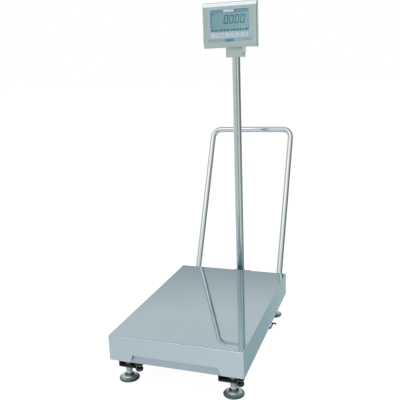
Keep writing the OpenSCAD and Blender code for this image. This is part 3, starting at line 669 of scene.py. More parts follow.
def sweep(path, radius, seg=48, wall=None):
    """Round bar or hollow tube along a path in millimetres. Returns verts, faces, samples."""
    pts = [Vector(p) for p in path]
    tang = []
    for i in range(len(pts)):
        a, b = pts[max(i - 1, 0)], pts[min(i + 1, len(pts) - 1)]
        tang.append((b - a).normalized())
    up = Vector((0, 1, 0)) if abs(tang[0].y) < 0.8 else Vector((1, 0, 0))
    u = (up - tang[0] * up.dot(tang[0])).normalized()
    frames = []
    for i, t in enumerate(tang):
        if i:
            q = tang[i - 1].rotation_difference(t)
            u = (q @ u)
            u = (u - t * u.dot(t)).normalized()
        frames.append((u.copy(), t.cross(u)))
    s = 0.0
    arc = [0.0]
    for a, b in zip(pts, pts[1:]):
        s += (b - a).length
        arc.append(s)
    radii = [radius, radius - wall] if wall else [radius]
    verts, samples, rings = [], [], []
    for r in radii:
        rr = []
        for i, p in enumerate(pts):
            rr.append(list(range(len(verts), len(verts) + seg)))
            for k in range(seg):
                a = 2 * PI * k / seg
                verts.append(tuple(p + frames[i][0] * (r * math.cos(a)) + frames[i][1] * (r * math.sin(a))))
                samples.append((arc[i] * MM, math.cos(a), math.sin(a)))
        rings.append(rr)
    faces = []

    def band(a, b):
        for k in range(seg):
            j = (k + 1) % seg
            faces.append((a[k], a[j], b[j], b[k]))
    for rr in rings:
        for a, b in zip(rr, rr[1:]):
            band(a, b)
    if wall:
        band(rings[0][0], rings[1][0])
        band(rings[0][-1], rings[1][-1])
    else:
        faces.append(tuple(rings[0][0]))
        faces.append(tuple(rings[0][-1]))
    return verts, faces, samples


def sweep_object(name, path, radius, mat, seg=48, wall=None, sharp=40):
    v, f, s = sweep(path, radius, seg, wall)
    bm = bmesh.new()
    add_geo(bm, v, f)
    bmesh.ops.recalc_face_normals(bm, faces=bm.faces)
    me = bpy.data.meshes.new(name)
    bm.to_mesh(me)
    bm.free()
    me.materials.append(mat)
    tube_attrs(me, s)
    finish_mesh(me, sharp)
    o = bpy.data.objects.new(name, me)
    scene.collection.objects.link(o)
    return o


def hex_head(af, h, chamfer_low=False, n=48):
    """Hexagon with its rounded chamfer, base at z = 0."""
    def hr(a):
        x = (a % (PI / 3)) - PI / 6
        return af / 2 / math.cos(x)
    rings, verts = [], []

    def ring(fr, fz):
        rings.append(list(range(len(verts), len(verts) + n)))
        for k in range(n):
            a = 2 * PI * k / n
            r = fr(a)
            verts.append((r * math.cos(a), r * math.sin(a), fz(a)))
    drop = lambda a: (hr(a) - af / 2) * 0.62
    if chamfer_low:
        ring(lambda a: af / 2 * 0.97, lambda a: 0.0)
        ring(hr, lambda a: drop(a) + 0.12)
    else:
        ring(lambda a: hr(a) - 0.12, lambda a: 0.0)
        ring(hr, lambda a: 0.12)
    ring(hr, lambda a: h - drop(a) - 0.12)
    ring(lambda a: af / 2 * 0.965, lambda a: h)
    faces = []
    for a, b in zip(rings, rings[1:]):
        for k in range(n):
            j = (k + 1) % n
            faces.append((a[k], a[j], b[j], b[k]))
    faces.append(tuple(rings[0])[::-1])
    faces.append(tuple(rings[-1]))
    return verts, faces


def thread(r, depth, pitch, z0, z1, seg=40, per=6, phase=0.0, tip=1.5):
    """Threaded rod: a true helix, right-hand, with a chamfered tip."""
    rows = int(round((z1 - z0) / pitch * per))
    verts, rings = [], []
    for i in range(rows + 1):
        z = z0 + (z1 - z0) * i / rows
        lim = r
        if z > z1 - tip:
            lim = r - (z - (z1 - tip))
        rings.append(list(range(len(verts), len(verts) + seg)))
        for k in range(seg):
            a = 2 * PI * k / seg
            f = ((z - z0) / pitch - k / seg + phase) % 1.0
            tri = 1 - abs(2 * f - 1)
            flat = min(1.0, max(0.0, tri * 1.35 - 0.12))
            rr = min(r - depth * (1 - flat), lim)
            verts.append((rr * math.cos(a), rr * math.sin(a), z))
    faces = []
    for a, b in zip(rings, rings[1:]):
        for k in range(seg):
            j = (k + 1) % seg
            faces.append((a[k], a[j], b[j], b[k]))
    faces.append(tuple(rings[0])[::-1])
    faces.append(tuple(rings[-1]))
    return verts, faces


def catmull(pts, n=8):
    out = []
    P = [Vector(p) for p in pts]
    for i in range(len(P) - 1):
        p0, p1, p2, p3 = P[max(i - 1, 0)], P[i], P[i + 1], P[min(i + 2, len(P) - 1)]
        l = (p2 - p1).length
        m1 = (p2 - p0).normalized() * l * 0.9 if i else (p2 - p1)
        m2 = (p3 - p1).normalized() * l * 0.9 if i < len(P) - 2 else (p2 - p1)
        for k in range(n):
            t = k / n
            out.append(p1 * (2 * t**3 - 3 * t**2 + 1) + m1 * (t**3 - 2 * t**2 + t) + p2 * (-2 * t**3 + 3 * t**2) + m2 * (t**3 - t**2))
    out.append(P[-1])
    return out


# ------------------------------------------------------------ cover plate
def cover():
    """Folded stainless tray: rounded bends, mitred corners, thickness and a notch in each short skirt."""
    W, L, top, low, R, t = 250.0, 380.0, 186.0, 90.0, 4.0, 1.5
    n = 5

    def ring(inset, z, a):
        rc = 1.4
        hw, hl = W - inset, L - inset
        pts = []
        corner = ((-1, -1), (1, -1), (1, 1), (-1, 1))
        for ci, (sx, sy) in enumerate(corner):
            cx, cy = sx * (hw - rc), sy * (hl - rc)
            a0 = {0: PI, 1: 1.5 * PI, 2: 0.0, 3: 0.5 * PI}[ci]
            for k in range(n + 1):
                an = a0 + PI / 2 * k / n
                pts.append((cx + rc * math.cos(an), cy + rc * math.sin(an) + SY, z))
            if ci == 0:
                pts += [(-a, -hl + SY, z), (a, -hl + SY, z)]
            if ci == 2:
                pts += [(a, hl + SY, z), (-a, hl + SY, z)]
        return pts
    gap_first = {n + 1, 2 * (n + 1) + 2 + (n + 1)}      # index of the first point of each notch span
    # order: corner 0 (n+1), two front points, corner 1 (n+1), corner 2 (n+1), two rear points, corner 3 (n+1)
    verts, rings = [], []

    def push(pts):
        rings.append(list(range(len(verts), len(verts) + len(pts))))
        verts.extend(pts)
        return rings[-1]
    N = 4 * (n + 1) + 4
    front_i = n + 1
    rear_i = 3 * (n + 1) + 2
    faces = []

    def band(a, b, skip=False, flip=False):
        for k in range(N):
            if skip and k in (front_i, rear_i):
                continue
            j = (k + 1) % N
            f = (a[k], a[j], b[j], b[k])
            faces.append(f[::-1] if flip else f)
    outer = [push(ring(0, low, 170)), push(ring(0, 118, 158))]
    outer.append(push(ring(0, top - R, 158)))
    steps = 12
    for k in range(1, steps + 1):
        an = PI / 2 * k / steps
        outer.append(push(ring(R * (1 - math.cos(an)), top - R + R * math.sin(an), 158)))
    ri = R - t
    inner = [push(ring(t, low, 170)), push(ring(t, 118, 158)), push(ring(t, top - R, 158))]
    for k in range(1, steps + 1):
        an = PI / 2 * k / steps
        inner.append(push(ring(t + ri * (1 - math.cos(an)), top - R + ri * math.sin(an), 158)))
    band(outer[0], outer[1], True)
    for a, b in zip(outer[1:], outer[2:]):
        band(a, b)
    band(inner[0], inner[1], True, True)
    for a, b in zip(inner[1:], inner[2:]):
        band(a, b, False, True)
    faces.append(tuple(outer[-1]))
    faces.append(tuple(inner[-1])[::-1])
    band(outer[0], inner[0], True, True)
    for i in (front_i, rear_i):
        faces.append((outer[1][i], outer[1][i + 1], inner[1][i + 1], inner[1][i]))
        for j in (i, i + 1):
            faces.append((outer[0][j], outer[1][j], inner[1][j], inner[0][j]))
    bm = bmesh.new()
    add_geo(bm, verts, faces)
    o = from_bm("cover_sheet", bm, M["stainless_top"], 50)
    return attach(o, "cover", ("cover_plate",))


# ------------------------------------------------------------------- base
def rails():
    for s, side in ((-1, "left"), (1, "right")):
        cx = s * 188
        outer = rrect(70, 28, 3.4, 5)
        inner = rrect(64, 22, 1.6, 5)
        y0, y1, zc = -575.0, 270.0, 73.0
        verts, faces = [], []
        loops = []
        for poly in (outer, inner):
            for y in (y0, y1):
                loops.append(list(range(len(verts), len(verts) + len(poly))))
                verts += [(cx + u, y, zc + v) for u, v in poly]
        n = len(outer)
        for a, b in ((loops[0], loops[1]), (loops[2], loops[3]), (loops[0], loops[2]), (loops[1], loops[3])):
            for k in range(n):
                j = (k + 1) % n
                faces.append((a[k], a[j], b[j], b[k]))
        bm = bmesh.new()
        add_geo(bm, verts, faces)
        soften(bm, 0.5, 2, 60)
        o = from_bm("base_rail_" + side, bm, M["black_frame"], 40)
        cutters = []
        for y in (-333.5, 333.5):
            b2 = bmesh.new()
            add_geo(b2, *lathe([(0, -20), (13, -20), (13, 20), (0, 20)], 48, c=(s * 199.5, y + SY, zc)))
            cutters.append(from_bm("cutter", b2, M["black_frame"]))
        for y in (406, 466):
            b2 = bmesh.new()
            add_geo(b2, *lathe([(0, -8), (4.05, -8), (4.05, 8), (0, 8)], 24, c=(s * 201.8, y + SY, 87)))
            cutters.append(from_bm("cutter", b2, M["black_frame"]))
        cut(o, cutters)
        attach(o, "base", ("base_rails",))
        # weld beads where the cross members meet the rail
        for i, (ya, yb) in enumerate(((-322, -262), (262, 322), (20, 110))):
            bm = bmesh.new()
            for y in (ya, yb):
                for z in (86.2,):
                    pts = []
                    m = 22
                    for k in range(m + 1):
                        pts.append((s * 152.6, 0, 0))
                    path = [(s * 152.2, ya + SY + (yb - ya) * k / m, z + 0.35 * math.sin(k * 2.6)) for k in range(m + 1)]
                v, f, _ = sweep(path, 1.5, 10)
                add_geo(bm, v, f)
                break
            w = from_bm("weld_%s_%d" % (side, i), bm, M["black_frame"], 60)
            attach(w, "base")


def bumpers():
    k = 0
    for sg in (1, -1):
        for x in (-148.0, 228.0):
            k += 1
            prof = [(0, 46.0), (3.2, 46.0), (3.6, 47.8), (4.6, 47.8), (5.2, 46.1), (8.0, 46.1), (10.6, 46.9), (12.6, 48.4), (13.7, 50.4), (14.0, 52.4),
                    (13.7, 53.4), (13.3, 53.8), (13.7, 54.2), (14.0, 55.0), (14.0, 56.2), (13.5, 57.4), (12.4, 58.2), (4.2, 58.2), (0, 58.2)]
            bm = bmesh.new()
            add_geo(bm, *lathe(prof, 64, c=(sg * x, sg * -352.0 + SY, 0)))
            o = from_bm("bumper_%d" % k, bm, M["rubber_black"], 45)
            attach(o, "base", ("rubber_bumpers",) if k == 1 else ())


def pole():
    p0, p1 = 112.0, 1186.0
    path = [(0, 303.0, z) for z in [p0 + (p1 - p0) * i / 60 for i in range(61)]]
    o = sweep_object("pole_tube", path, 19.05, M["stainless_tube"], 128, 2.0)
    attach(o, "base", ("pole",))


def guard():
    gx, b = 201.8, 42.0
    y0, z0, y1, z1 = 227.4, 95.0, 577.3, 796.0
    leg = math.hypot(y1 - y0, z1 - z0)
    d = Vector((0, (y1 - y0) / leg, (z1 - z0) / leg))
    base = Vector((0, y0, z0))
    path = []
    straight = leg - b
    for k in range(24):
        path.append(base + Vector((-gx, 0, 0)) + d * (straight * k / 24))
    for k in range(19):
        a = PI / 2 * k / 18
        path.append(base + Vector((-gx + b - b * math.cos(a), 0, 0)) + d * (straight + b * math.sin(a)))
    for k in range(1, 14):
        path.append(base + Vector((-gx + b + (2 * gx - 2 * b) * k / 14, 0, 0)) + d * leg)
    for k in range(19):
        a = PI / 2 * (1 - k / 18)
        path.append(base + Vector((gx - b + b * math.cos(a), 0, 0)) + d * (straight + b * math.sin(a)))
    for k in range(1, 25):
        path.append(base + Vector((gx, 0, 0)) + d * (straight * (1 - k / 24)))
    o = sweep_object("guard_tube", [tuple(p) for p in path], 13.97, M["stainless_guard"], 72, 1.5)
    attach(o, "base", ("guard_rail",))


def feet():
    for tag, sx, sy in (("fl", -1, -1), ("fr", 1, -1), ("rl", -1, 1), ("rr", 1, 1)):
        x, y = sx * 199.5, sy * 333.5 + SY
        prof = [(0, 0.0), (34.0, 0.0), (36.6, 0.15), (37.35, 0.7), (37.5, 1.6), (37.5, 2.9), (37.2, 3.9), (36.4, 4.7), (35.0, 5.5), (33.0, 6.35), (30.4, 7.3),
                (27.8, 8.35), (25.2, 9.55), (22.9, 10.9), (20.9, 12.5), (19.4, 13.9), (18.6, 15.0), (18.1, 15.9), (17.4, 16.3), (16.7, 16.3), (16.3, 16.7), (16.1, 17.4),
                (15.4, 17.95), (9.6, 18.0), (8.6, 17.6), (8.15, 16.9), (8.15, 6.0), (0, 6.0)]
        v, f = lathe(prof, 96, c=(x, y, 0))
        bm = bmesh.new()
        add_geo(bm, v, f)
        bmesh.ops.recalc_face_normals(bm, faces=bm.faces)
        me = bpy.data.meshes.new("pad_" + tag)
        bm.to_mesh(me)
        bm.free()
        me.materials.append(M["foot_metal"])
        a = me.attributes.new("ring_r", "FLOAT", "POINT")
        a.data.foreach_set("value", [math.hypot(p.co.x - x * MM, p.co.y - y * MM) for p in me.vertices])
        finish_mesh(me, 45)
        o = bpy.data.objects.new("pad_" + tag, me)
        scene.collection.objects.link(o)
        attach(o, "pad_" + tag, ("foot_pad_" + tag,))
        # stem: stepped spigot, plain neck ring and a real M24 thread
        bm = bmesh.new()
        m = Matrix.Translation(Vector((x, y, 0)) * MM)
        v, f = thread(12.0, 1.55, 3.0, 30.0, 124.0, 48, 8)
        add_geo(bm, v, f, m)
        neck = [(0, 6.08), (6.6, 6.08), (7.9, 7.4), (7.9, 19.0), (9.2, 20.4), (9.2, 23.6), (10.0, 24.4), (11.6, 24.6), (11.9, 25.2), (11.9, 29.0), (11.2, 29.8), (10.6, 30.2), (0, 30.2)]
        add_geo(bm, *lathe(neck, 64), m)
        o = from_bm("stem_" + tag, bm, STEM, 50)
        attach(o, "stem_" + tag, ("foot_stem_" + tag,))
    # lock nuts above the rails
    bm = bmesh.new()
    for sx in (-1, 1):
        for sy in (-1, 1):
            v, f = hex_head(36, 11, True)
            add_geo(bm, v, f, at((sx * 199.5, sy * 333.5 + SY, 101), (0, 0, 1), 0.3 * sx + 0.5 * sy))
    o = from_bm("foot_lock_nuts", bm, M["zinc"], 30)
    cutters = []
    for sx in (-1, 1):
        for sy in (-1, 1):
            b2 = bmesh.new()
            add_geo(b2, *lathe([(0, -10), (12.05, -10), (12.05, 15), (0, 15)], 48, c=(sx * 199.5, sy * 333.5 + SY, 101)))
            cutters.append(from_bm("cutter", b2, M["zinc"]))
    cut(o, cutters)
    attach(o, "base", ("lock_nuts",))


def washer(bm, pos, axis, ri, ro, t):
    add_geo(bm, *lathe([(ri, 0), (ro - 0.2, 0), (ro, 0.2), (ro, t - 0.25), (ro - 0.3, t), (ri + 0.2, t), (ri, t - 0.2)], 40, True), at(pos, axis))


def base_bolts():
    for name, node, pts, z, body in (
        ("pole_flange_bolts", "pole_socket_bolts", [(sx * 34, 303 + sy * 34) for sx in (-1, 1) for sy in (-1, 1)], 118.0, "base"),
        ("guard_foot_bolts", "guard_bolts", [(s * 201.8, y + SY) for s in (-1, 1) for y in (406, 466)], 92.0, "base"),
    ):
        bm = bmesh.new()
        low = 10.5 if node == "pole_socket_bolts" else 11.4 + 3
        for i, (x, y) in enumerate(pts):
            washer(bm, (x, y, z), (0, 0, 1), 4.0, 8.0, 1.2)
            add_geo(bm, *hex_head(13, 4.1), at((x, y, z + 1.2), (0, 0, 1), i * 0.7))
            zn = (z - 6 - 10.5) if node == "pole_socket_bolts" else (z - 5 - 3 - 6.4)
            add_geo(bm, *thread(4.0, 0.6, 1.25, zn - 1.5, z, 20, 5, tip=0.8), Matrix.Translation(Vector((x, y, 0)) * MM))
            add_geo(bm, *hex_head(13, 6.4, True), at((x, y, zn), (0, 0, 1), i * 1.1))
        o = from_bm(name, bm, M["zinc"], 30)
        attach(o, body, (node,))


def cable():
    k = 0.0
    pts = [(34, -70, 122), (46, -70, 122), (60, -60, 104), (140, -10, 99), (190, 40, 97), (230, 66, 93), (236, 84, 53),
           (236, 155, 42), (236, 200, 20), (233.5, 228, 6), (227, 239, 3.4), (218, 238, 3.4), (207, 236, 3.4), (196, 242, 3.4), (180, 262, 3.4),
           (120, 360, 3.4), (50, 440, 3.4), (12, 480, 4.5), (0, 493, 14),
           (0, 493, 98), (0, 507, 103), (0, 513, 109), (0, 513, 1182)]
    pts = [(x, y + SY, z) for x, y, z in pts]
    body = catmull(pts[:-1], 10)
    path = [Vector((p.x, p.y, max(p.z, 3.15))) for p in body]
    z = path[-1].z
    while z < 1180:
        z += 60
        path.append(Vector((pts[-1][0], pts[-1][1], min(z, 1182))))
    o = sweep_object("signal_lead", [tuple(p) for p in path], 3.0, M["rubber_black"], 20)
    attach(o, "base", ("signal_cable",))


# -------------------------------------------------------------- indicator
FACE, BACK, REAR, IZ, IT = 207.0, 228.0, 275.0, 1191.0, 1381.0
KZ = IZ + 51.5
KEYS = [-77, -55, -33, -11, 11, 33, 66]


def indicator():
    # front case: folded profile, rounded on every outer edge
    prof = [(BACK, IZ), (FACE + 7, IZ), (FACE, IZ + 17.5), (FACE, IT - 18), (FACE + 8, IT), (BACK, IT)]
    bm = bmesh.new()
    add_geo(bm, *prism(prof, -121.5, 121.5, "YZ"))
    bmesh.ops.recalc_face_normals(bm, faces=bm.faces)
    sides = [e for e in bm.edges if abs(e.verts[0].co.x - e.verts[1].co.x) < 1e-6 and (e.verts[0].co.y < (BACK - 1) * MM or e.verts[1].co.y < (BACK - 1) * MM)]
    bmesh.ops.bevel(bm, geom=sides, offset=3.0 * MM, segments=5, profile=0.5, affect="EDGES", clamp_overlap=True)
    crest = [e for e in bm.edges if min(v.co.z for v in e.verts) > (IT - 0.5) * MM and max(v.co.y for v in e.verts) < (FACE + 9) * MM and e.calc_length() > 0.1]
    bmesh.ops.bevel(bm, geom=crest, offset=3.2 * MM, segments=5, profile=0.5, affect="EDGES", clamp_overlap=True)
    along = [e for e in bm.edges if abs(e.verts[0].co.y - e.verts[1].co.y) < 1e-6 and abs(e.verts[0].co.z - e.verts[1].co.z) < 1e-6
             and len(e.link_faces) == 2 and e.calc_face_angle(0) > math.radians(18) and e.verts[0].co.z < (IT - 6) * MM and e.verts[0].co.y < (BACK - 1) * MM and e.calc_length() > 0.1]
    bmesh.ops.bevel(bm, geom=along, offset=1.6 * MM, segments=4, profile=0.5, affect="EDGES", clamp_overlap=True)
    o = from_bm("front_housing", bm, M["stainless_case"], 40)
    inner = [(BACK + 5, IZ + 1.2), (FACE + 7.7, IZ + 1.2), (FACE + 1.2, IZ + 18), (FACE + 1.2, IT - 18.5), (FACE + 9.6, IT - 2.0), (BACK + 5, IT - 2.0)]
    b2 = bmesh.new()
    add_geo(b2, *prism(inner, -119.9, 119.9, "YZ"))
    b3 = bmesh.new()
    add_geo(b3, *boxgeo((-85.3, FACE - 3, 1258.7), (85.3, FACE + 5, 1348.8)))
    cs = [from_bm("cutter", b2, M["stainless_case"]), from_bm("cutter", b3, M["stainless_case"])]
    for i, kx in enumerate(KEYS):
        w = 32 if i == 6 else 18
        b4 = bmesh.new()
        add_geo(b4, *boxgeo((kx - w / 2 - 0.15, FACE - 3, KZ - 9.65), (kx + w / 2 + 0.15, FACE + 5, KZ + 9.65)))
        cs.append(from_bm("cutter", b4, M["stainless_case"]))
    cut(o, cs)
    attach(o, "indicator", ("front_case",))

    # printed film with its window and key openings
    bm = bmesh.new()
    poly = [(u, v + 1289.0) for u, v in rrect(202, 146, 3, 6)]
    add_geo(bm, *prism(poly, FACE - 0.7, FACE, "XZ"))
    soften(bm, 0.22, 2, 60)
    o = from_bm("panel_film", bm, M["overlay"], 40)
    b3 = bmesh.new()
    add_geo(b3, *prism([(u, v + 1303.75) for u, v in rrect(170, 89.5, 1.6, 4)], FACE - 3, FACE + 3, "XZ"))
    cs = [from_bm("cutter", b3, M["overlay"])]
    for i, kx in enumerate(KEYS):
        w = 32.3 if i == 6 else 18.3
        b4 = bmesh.new()
        add_geo(b4, *prism([(kx + u, v + KZ) for u, v in rrect(w, 19.3, 2.2, 4)], FACE - 3, FACE + 3, "XZ"))
        cs.append(from_bm("cutter", b4, M["overlay"]))
    cut(o, cs)
    attach(o, "indicator", ("overlay_panel",))

    def print_on(name, poly, mat, y0=FACE - 0.76, y1=FACE - 0.60, body="indicator", soft=0.0):
        bm = bmesh.new()
        add_geo(bm, *prism(poly, y0, y1, "XZ"))
        if soft:
            soften(bm, soft, 2, 60)
        o = from_bm(name, bm, mat, 40)
        return attach(o, body)
    # darker band along the foot of the film, with a plain blue lozenge over it
    print_on("print_band", [(u - 1.5, v + 1223.0) for u, v in rrect(197, 12.5, 1.2, 3)], INK_STRIP)
    lz = []
    for k in range(32):
        a = 2 * PI * k / 32
        lz.append((-2.5 + 20.5 * math.copysign(abs(math.cos(a)) ** 0.42, math.cos(a)), 1221.6 + 6.2 * math.copysign(abs(math.sin(a)) ** 0.8, math.sin(a))))
    print_on("print_lozenge", lz, INK_BLUE, FACE - 0.84, FACE - 0.60)
    # small square at each end of the band
    for i, x in enumerate((-96.5, 93.5)):
        print_on("print_dot_%d" % i, [(x - 2.2 + u, 1223.0 + v) for u, v in rrect(3.6, 3.6, 0.6, 3)], INK_FRAME, FACE - 0.82, FACE - 0.60)

    # window: glass plate, printed frame behind it, display and its segments
    bm = bmesh.new()
    add_geo(bm, *boxgeo((-84.9, FACE - 0.6, 1259.1), (84.9, FACE + 1.4, 1348.4)))
    soften(bm, 0.3, 2, 60)
    o = from_bm("window_glass", bm, M["lcd_glass"], 40)
    attach(o, "indicator", ("lcd_window",))
    bm = bmesh.new()
    add_geo(bm, *boxgeo((-84, FACE + 2.2, 1260), (84, FACE + 6, 1347.5)))
    add_geo(bm, *boxgeo((-87, FACE + 5.9, 1257), (87, FACE + 9, 1350.5)))
    o = from_bm("display_cell", bm, M["lcd"], 40)
    attach(o, "indicator", ("lcd_module",))

    def seg(name, poly, mat=INK_DARK, lift=0.12):
        return print_on(name, poly, mat, FACE + 2.2 - lift, FACE + 2.3)
    # masked strip along the top of the window with a blank pale patch
    seg("window_mask_top", [(-84, 1334.2), (84, 1334.2), (84, 1347.4), (-84, 1347.4)], INK_FRAME, 0.5)
    seg("window_mask_left", [(-84, 1260), (-81.4, 1260), (-81.4, 1334.2), (-84, 1334.2)], INK_FRAME, 0.5)
    seg("window_mask_right", [(82.4, 1260), (84, 1260), (84, 1334.2), (82.4, 1334.2)], INK_FRAME, 0.5)
    print_on("print_patch", [(u - 3.5, v + 1343.0) for u, v in rrect(47, 11.6, 1.4, 4)], INK_PALE, FACE - 1.0, FACE - 0.60)
    # four slanted seven-segment zeros and the decimal mark
    slant = math.tan(math.radians(9))

    def digit(cx, zc, h, w, t, on, tag):
        def quad(pts):
            return [(cx + u + (v) * slant, zc + v) for u, v in pts]
        hh, hw, g = h / 2, w / 2, 0.55
        segs = {
            "a": [(-hw + g, hh), (hw - g, hh), (hw - t - g, hh - t), (-hw + t + g, hh - t)],
            "d": [(-hw + g, -hh), (hw - g, -hh), (hw - t - g, -hh + t), (-hw + t + g, -hh + t)],
            "b": [(hw, hh - g), (hw, g), (hw - t / 2, 0.2), (hw - t, t / 2 + g * 0.5), (hw - t, hh - t - g)],
            "c": [(hw, -hh + g), (hw, -g), (hw - t / 2, -0.2), (hw - t, -t / 2 - g * 0.5), (hw - t, -hh + t + g)],
            "f": [(-hw, hh - g), (-hw, g), (-hw + t / 2, 0.2), (-hw + t, t / 2 + g * 0.5), (-hw + t, hh - t - g)],
            "e": [(-hw, -hh + g), (-hw, -g), (-hw + t / 2, -0.2), (-hw + t, -t / 2 - g * 0.5), (-hw + t, -hh + t + g)],
            "g": [(-hw + t, t / 2), (hw - t, t / 2), (hw - t / 2 - g, 0), (hw - t, -t / 2), (-hw + t, -t / 2), (-hw + t / 2 + g, 0)],
        }
        bm = bmesh.new()
        for k in on:
            add_geo(bm, *prism(quad(segs[k]), FACE + 2.05, FACE + 2.3, "XZ"))
        o = from_bm("digit_" + tag, bm, INK_DARK if tag == "0" else INK_MID, 40)
        attach(o, "indicator")
    for i, cx in enumerate((-16.0, 8.5, 33.0, 58.0)):
        digit(cx, 1308.3, 35.5, 18.2, 3.7, "abcdef", str(i))
    seg("decimal_mark", [(u - 7.2, v + 1291.8) for u, v in rrect(2.4, 2.4, 0.6, 3)], INK_MID)
    # small signs: unit bars at the upper left and a row of plain blocks along the foot
    bm = bmesh.new()
    for x0, w in ((-80.5, 4.2), (-75.2, 3.0), (-71.2, 2.0)):
        add_geo(bm, *prism([(x0, 1329.2), (x0 + w, 1329.2), (x0 + w, 1333.4), (x0, 1333.4)], FACE + 2.05, FACE + 2.3, "XZ"))
    attach(from_bm("sign_upper", bm, INK_MID, 40), "indicator")
    bm = bmesh.new()
    for k in range(12):
        x = -76 + k * 13.7
        w = (6.6, 8.0, 5.0, 8.6)[k % 4]
        add_geo(bm, *prism([(x - w / 2, 1261.6), (x + w / 2, 1261.6), (x + w / 2, 1268.2), (x - w / 2, 1268.2)], FACE + 2.05, FACE + 2.3, "XZ"))
    attach(from_bm("sign_row", bm, INK_MID, 40), "indicator")

    # keys: rounded pads with softened edges and a plain sign on each
    for i, kx in enumerate(KEYS):
        w = 32 if i == 6 else 18
        tag = "long_right" if i == 6 else str(i + 1)
        node = "key_" + tag
        body = node + "_body"
        lo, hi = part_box(node)
        bm = bmesh.new()
        poly = [(kx + u, v + KZ) for u, v in rrect(w, 19, 2.0, 6)]
        yb = hi.y / MM
        add_geo(bm, *prism(poly, FACE - 1.3, yb, "XZ"))
        soften(bm, 0.45, 3, 60)
        o = from_bm("button_" + tag, bm, M["key_white"], 40)
        attach(o, body, (node,))
        y0, y1 = FACE - 1.34, FACE - 1.2
        bm = bmesh.new()

        def add(poly):
            add_geo(bm, *prism([(kx + u, KZ + v) for u, v in poly], y0, y1, "XZ"))
        if i == 0:
            add([(-5, -5), (5, -5), (5, -3.4), (-5, -3.4)]); add([(-4, -2.2), (-2.6, -2.2), (-2.6, 4.6), (-4, 4.6)]); add([(2.6, -2.2), (4, -2.2), (4, 4.6), (2.6, 4.6)])
        elif i == 1:
            add([(-5.5, 3.4), (5.5, 3.4), (0, -4.2)])
        elif i == 2:
            add([(-5.5, -3.8), (5.5, -3.8), (0, 4.2)])
        elif i == 3:
            add([(-4.6, -4.6), (-3, -4.6), (-3, 4.6), (-4.6, 4.6)]); add([(3, -4.6), (4.6, -4.6), (4.6, 4.6), (3, 4.6)]); add([(-2.6, -0.8), (2.6, -0.8), (2.6, 0.8), (-2.6, 0.8)])
        elif i == 4:
            add(rrect(11, 2.0, 0.8, 3)); add([(u, v + 4.4) for u, v in rrect(8, 1.6, 0.7, 3)]); add([(u, v - 4.4) for u, v in rrect(8, 1.6, 0.7, 3)])
        elif i == 5:
            ringp = [(4.6 * math.cos(a), 4.6 * math.sin(a)) for a in [2 * PI * k / 24 for k in range(24)]]
            inn = [(3.1 * math.cos(a), 3.1 * math.sin(a)) for a in [2 * PI * k / 24 for k in range(24)]]
            for k in range(24):
                j = (k + 1) % 24
                add([ringp[k], ringp[j], inn[j], inn[k]])
        else:
            add([(u, v + 4.2) for u, v in rrect(21, 1.7, 0.7, 3)]); add([(u, v) for u, v in rrect(13, 1.7, 0.7, 3)]); add([(u, v - 4.2) for u, v in rrect(21, 1.7, 0.7, 3)])
        o = from_bm("button_sign_" + tag, bm, INK_MARK, 40)
        attach(o, body)

    # pan-head screws on the back, with cross recesses
    for nm, node, pts, y, r, h, body in (
        ("case_screw_heads", "case_screws", [(x, z) for x in (-112, 112) for z in (IZ + 10, IT - 11)], BACK + 3, 2.8, 2.0, "indicator"),
        ("yoke_screw_heads", "yoke_screws", [(x, z) for x in (-20, 20) for z in (1214, 1250)], REAR + 3, 3.6, 2.4, "indicator"),
    ):
        bm = bmesh.new()
        for x, z in pts:
            prof = [(0, 0), (r, 0), (r, h * 0.35), (r * 0.93, h * 0.68), (r * 0.75, h * 0.9), (r * 0.45, h), (0, h)]
            add_geo(bm, *lathe(prof, 40), at((x, y, z), (0, 1, 0)))
        o = from_bm(nm, bm, M["zinc"], 40)
        cs = []
        for x, z in pts:
            b2 = bmesh.new()
            q = r * 0.52
            t = r * 0.13
            add_geo(b2, *boxgeo((x - q, y + h * 0.35, z - t), (x + q, y + h + 1, z + t)))
            cs.append(from_bm("cutter", b2, M["zinc"]))
            b2 = bmesh.new()
            add_geo(b2, *boxgeo((x - t, y + h * 0.35, z - q), (x + t, y + h + 1, z + q)))
            cs.append(from_bm("cutter", b2, M["zinc"]))
        cut(o, cs)
        b2 = bmesh.new()
        for x, z in pts:
            add_geo(b2, *thread(1.5 if r < 3 else 2.0, 0.3, 0.8, -9.6 if r < 3 else -5, 0.2, 16, 5, tip=0.2), at((x, y, z), (0, 1, 0)))
        s = from_bm(nm.replace("heads", "shanks"), b2, M["zinc"], 40)
        attach(o, body, (node,))
        attach(s, body)


def head_fasteners():
    bm = bmesh.new()
    add_geo(bm, *hex_head(13, 5.0), at((38.6, 303, 1163.5), (1, 0, 0), 0.25))
    add_geo(bm, *thread(4.0, 0.5, 1.25, -15.0, 1.0, 20, 5), at((38, 303, 1163.5), (1, 0, 0)))
    washer(bm, (38.02, 303, 1163.5), (1, 0, 0), 4.0, 7.6, 0.9)
    attach(from_bm("clamp_screw", bm, BRIGHT_BOLT, 30), "head", ("swivel_clamp_bolt",))
    bm = bmesh.new()
    add_geo(bm, *hex_head(13, 5.2), at((38.1, 317, 1232), (1, 0, 0), 0.5))
    add_geo(bm, *hex_head(13, 5.2), at((-38.1, 317, 1232), (-1, 0, 0), 0.1))
    add_geo(bm, *lathe([(0, -42.5), (3.6, -42.5), (4.0, -42.1), (4.0, 42.1), (3.6, 42.5), (0, 42.5)], 40), at((0, 317, 1232), (1, 0, 0)))
    attach(from_bm("pivot_bolt", bm, M["zinc"], 30), "head", ("tilt_pin",))


# ---------------------------------------------------------- carried nodes
SLOT = {s["node"]: s["material_slot"] for s in frame["record"]["subparts"]}


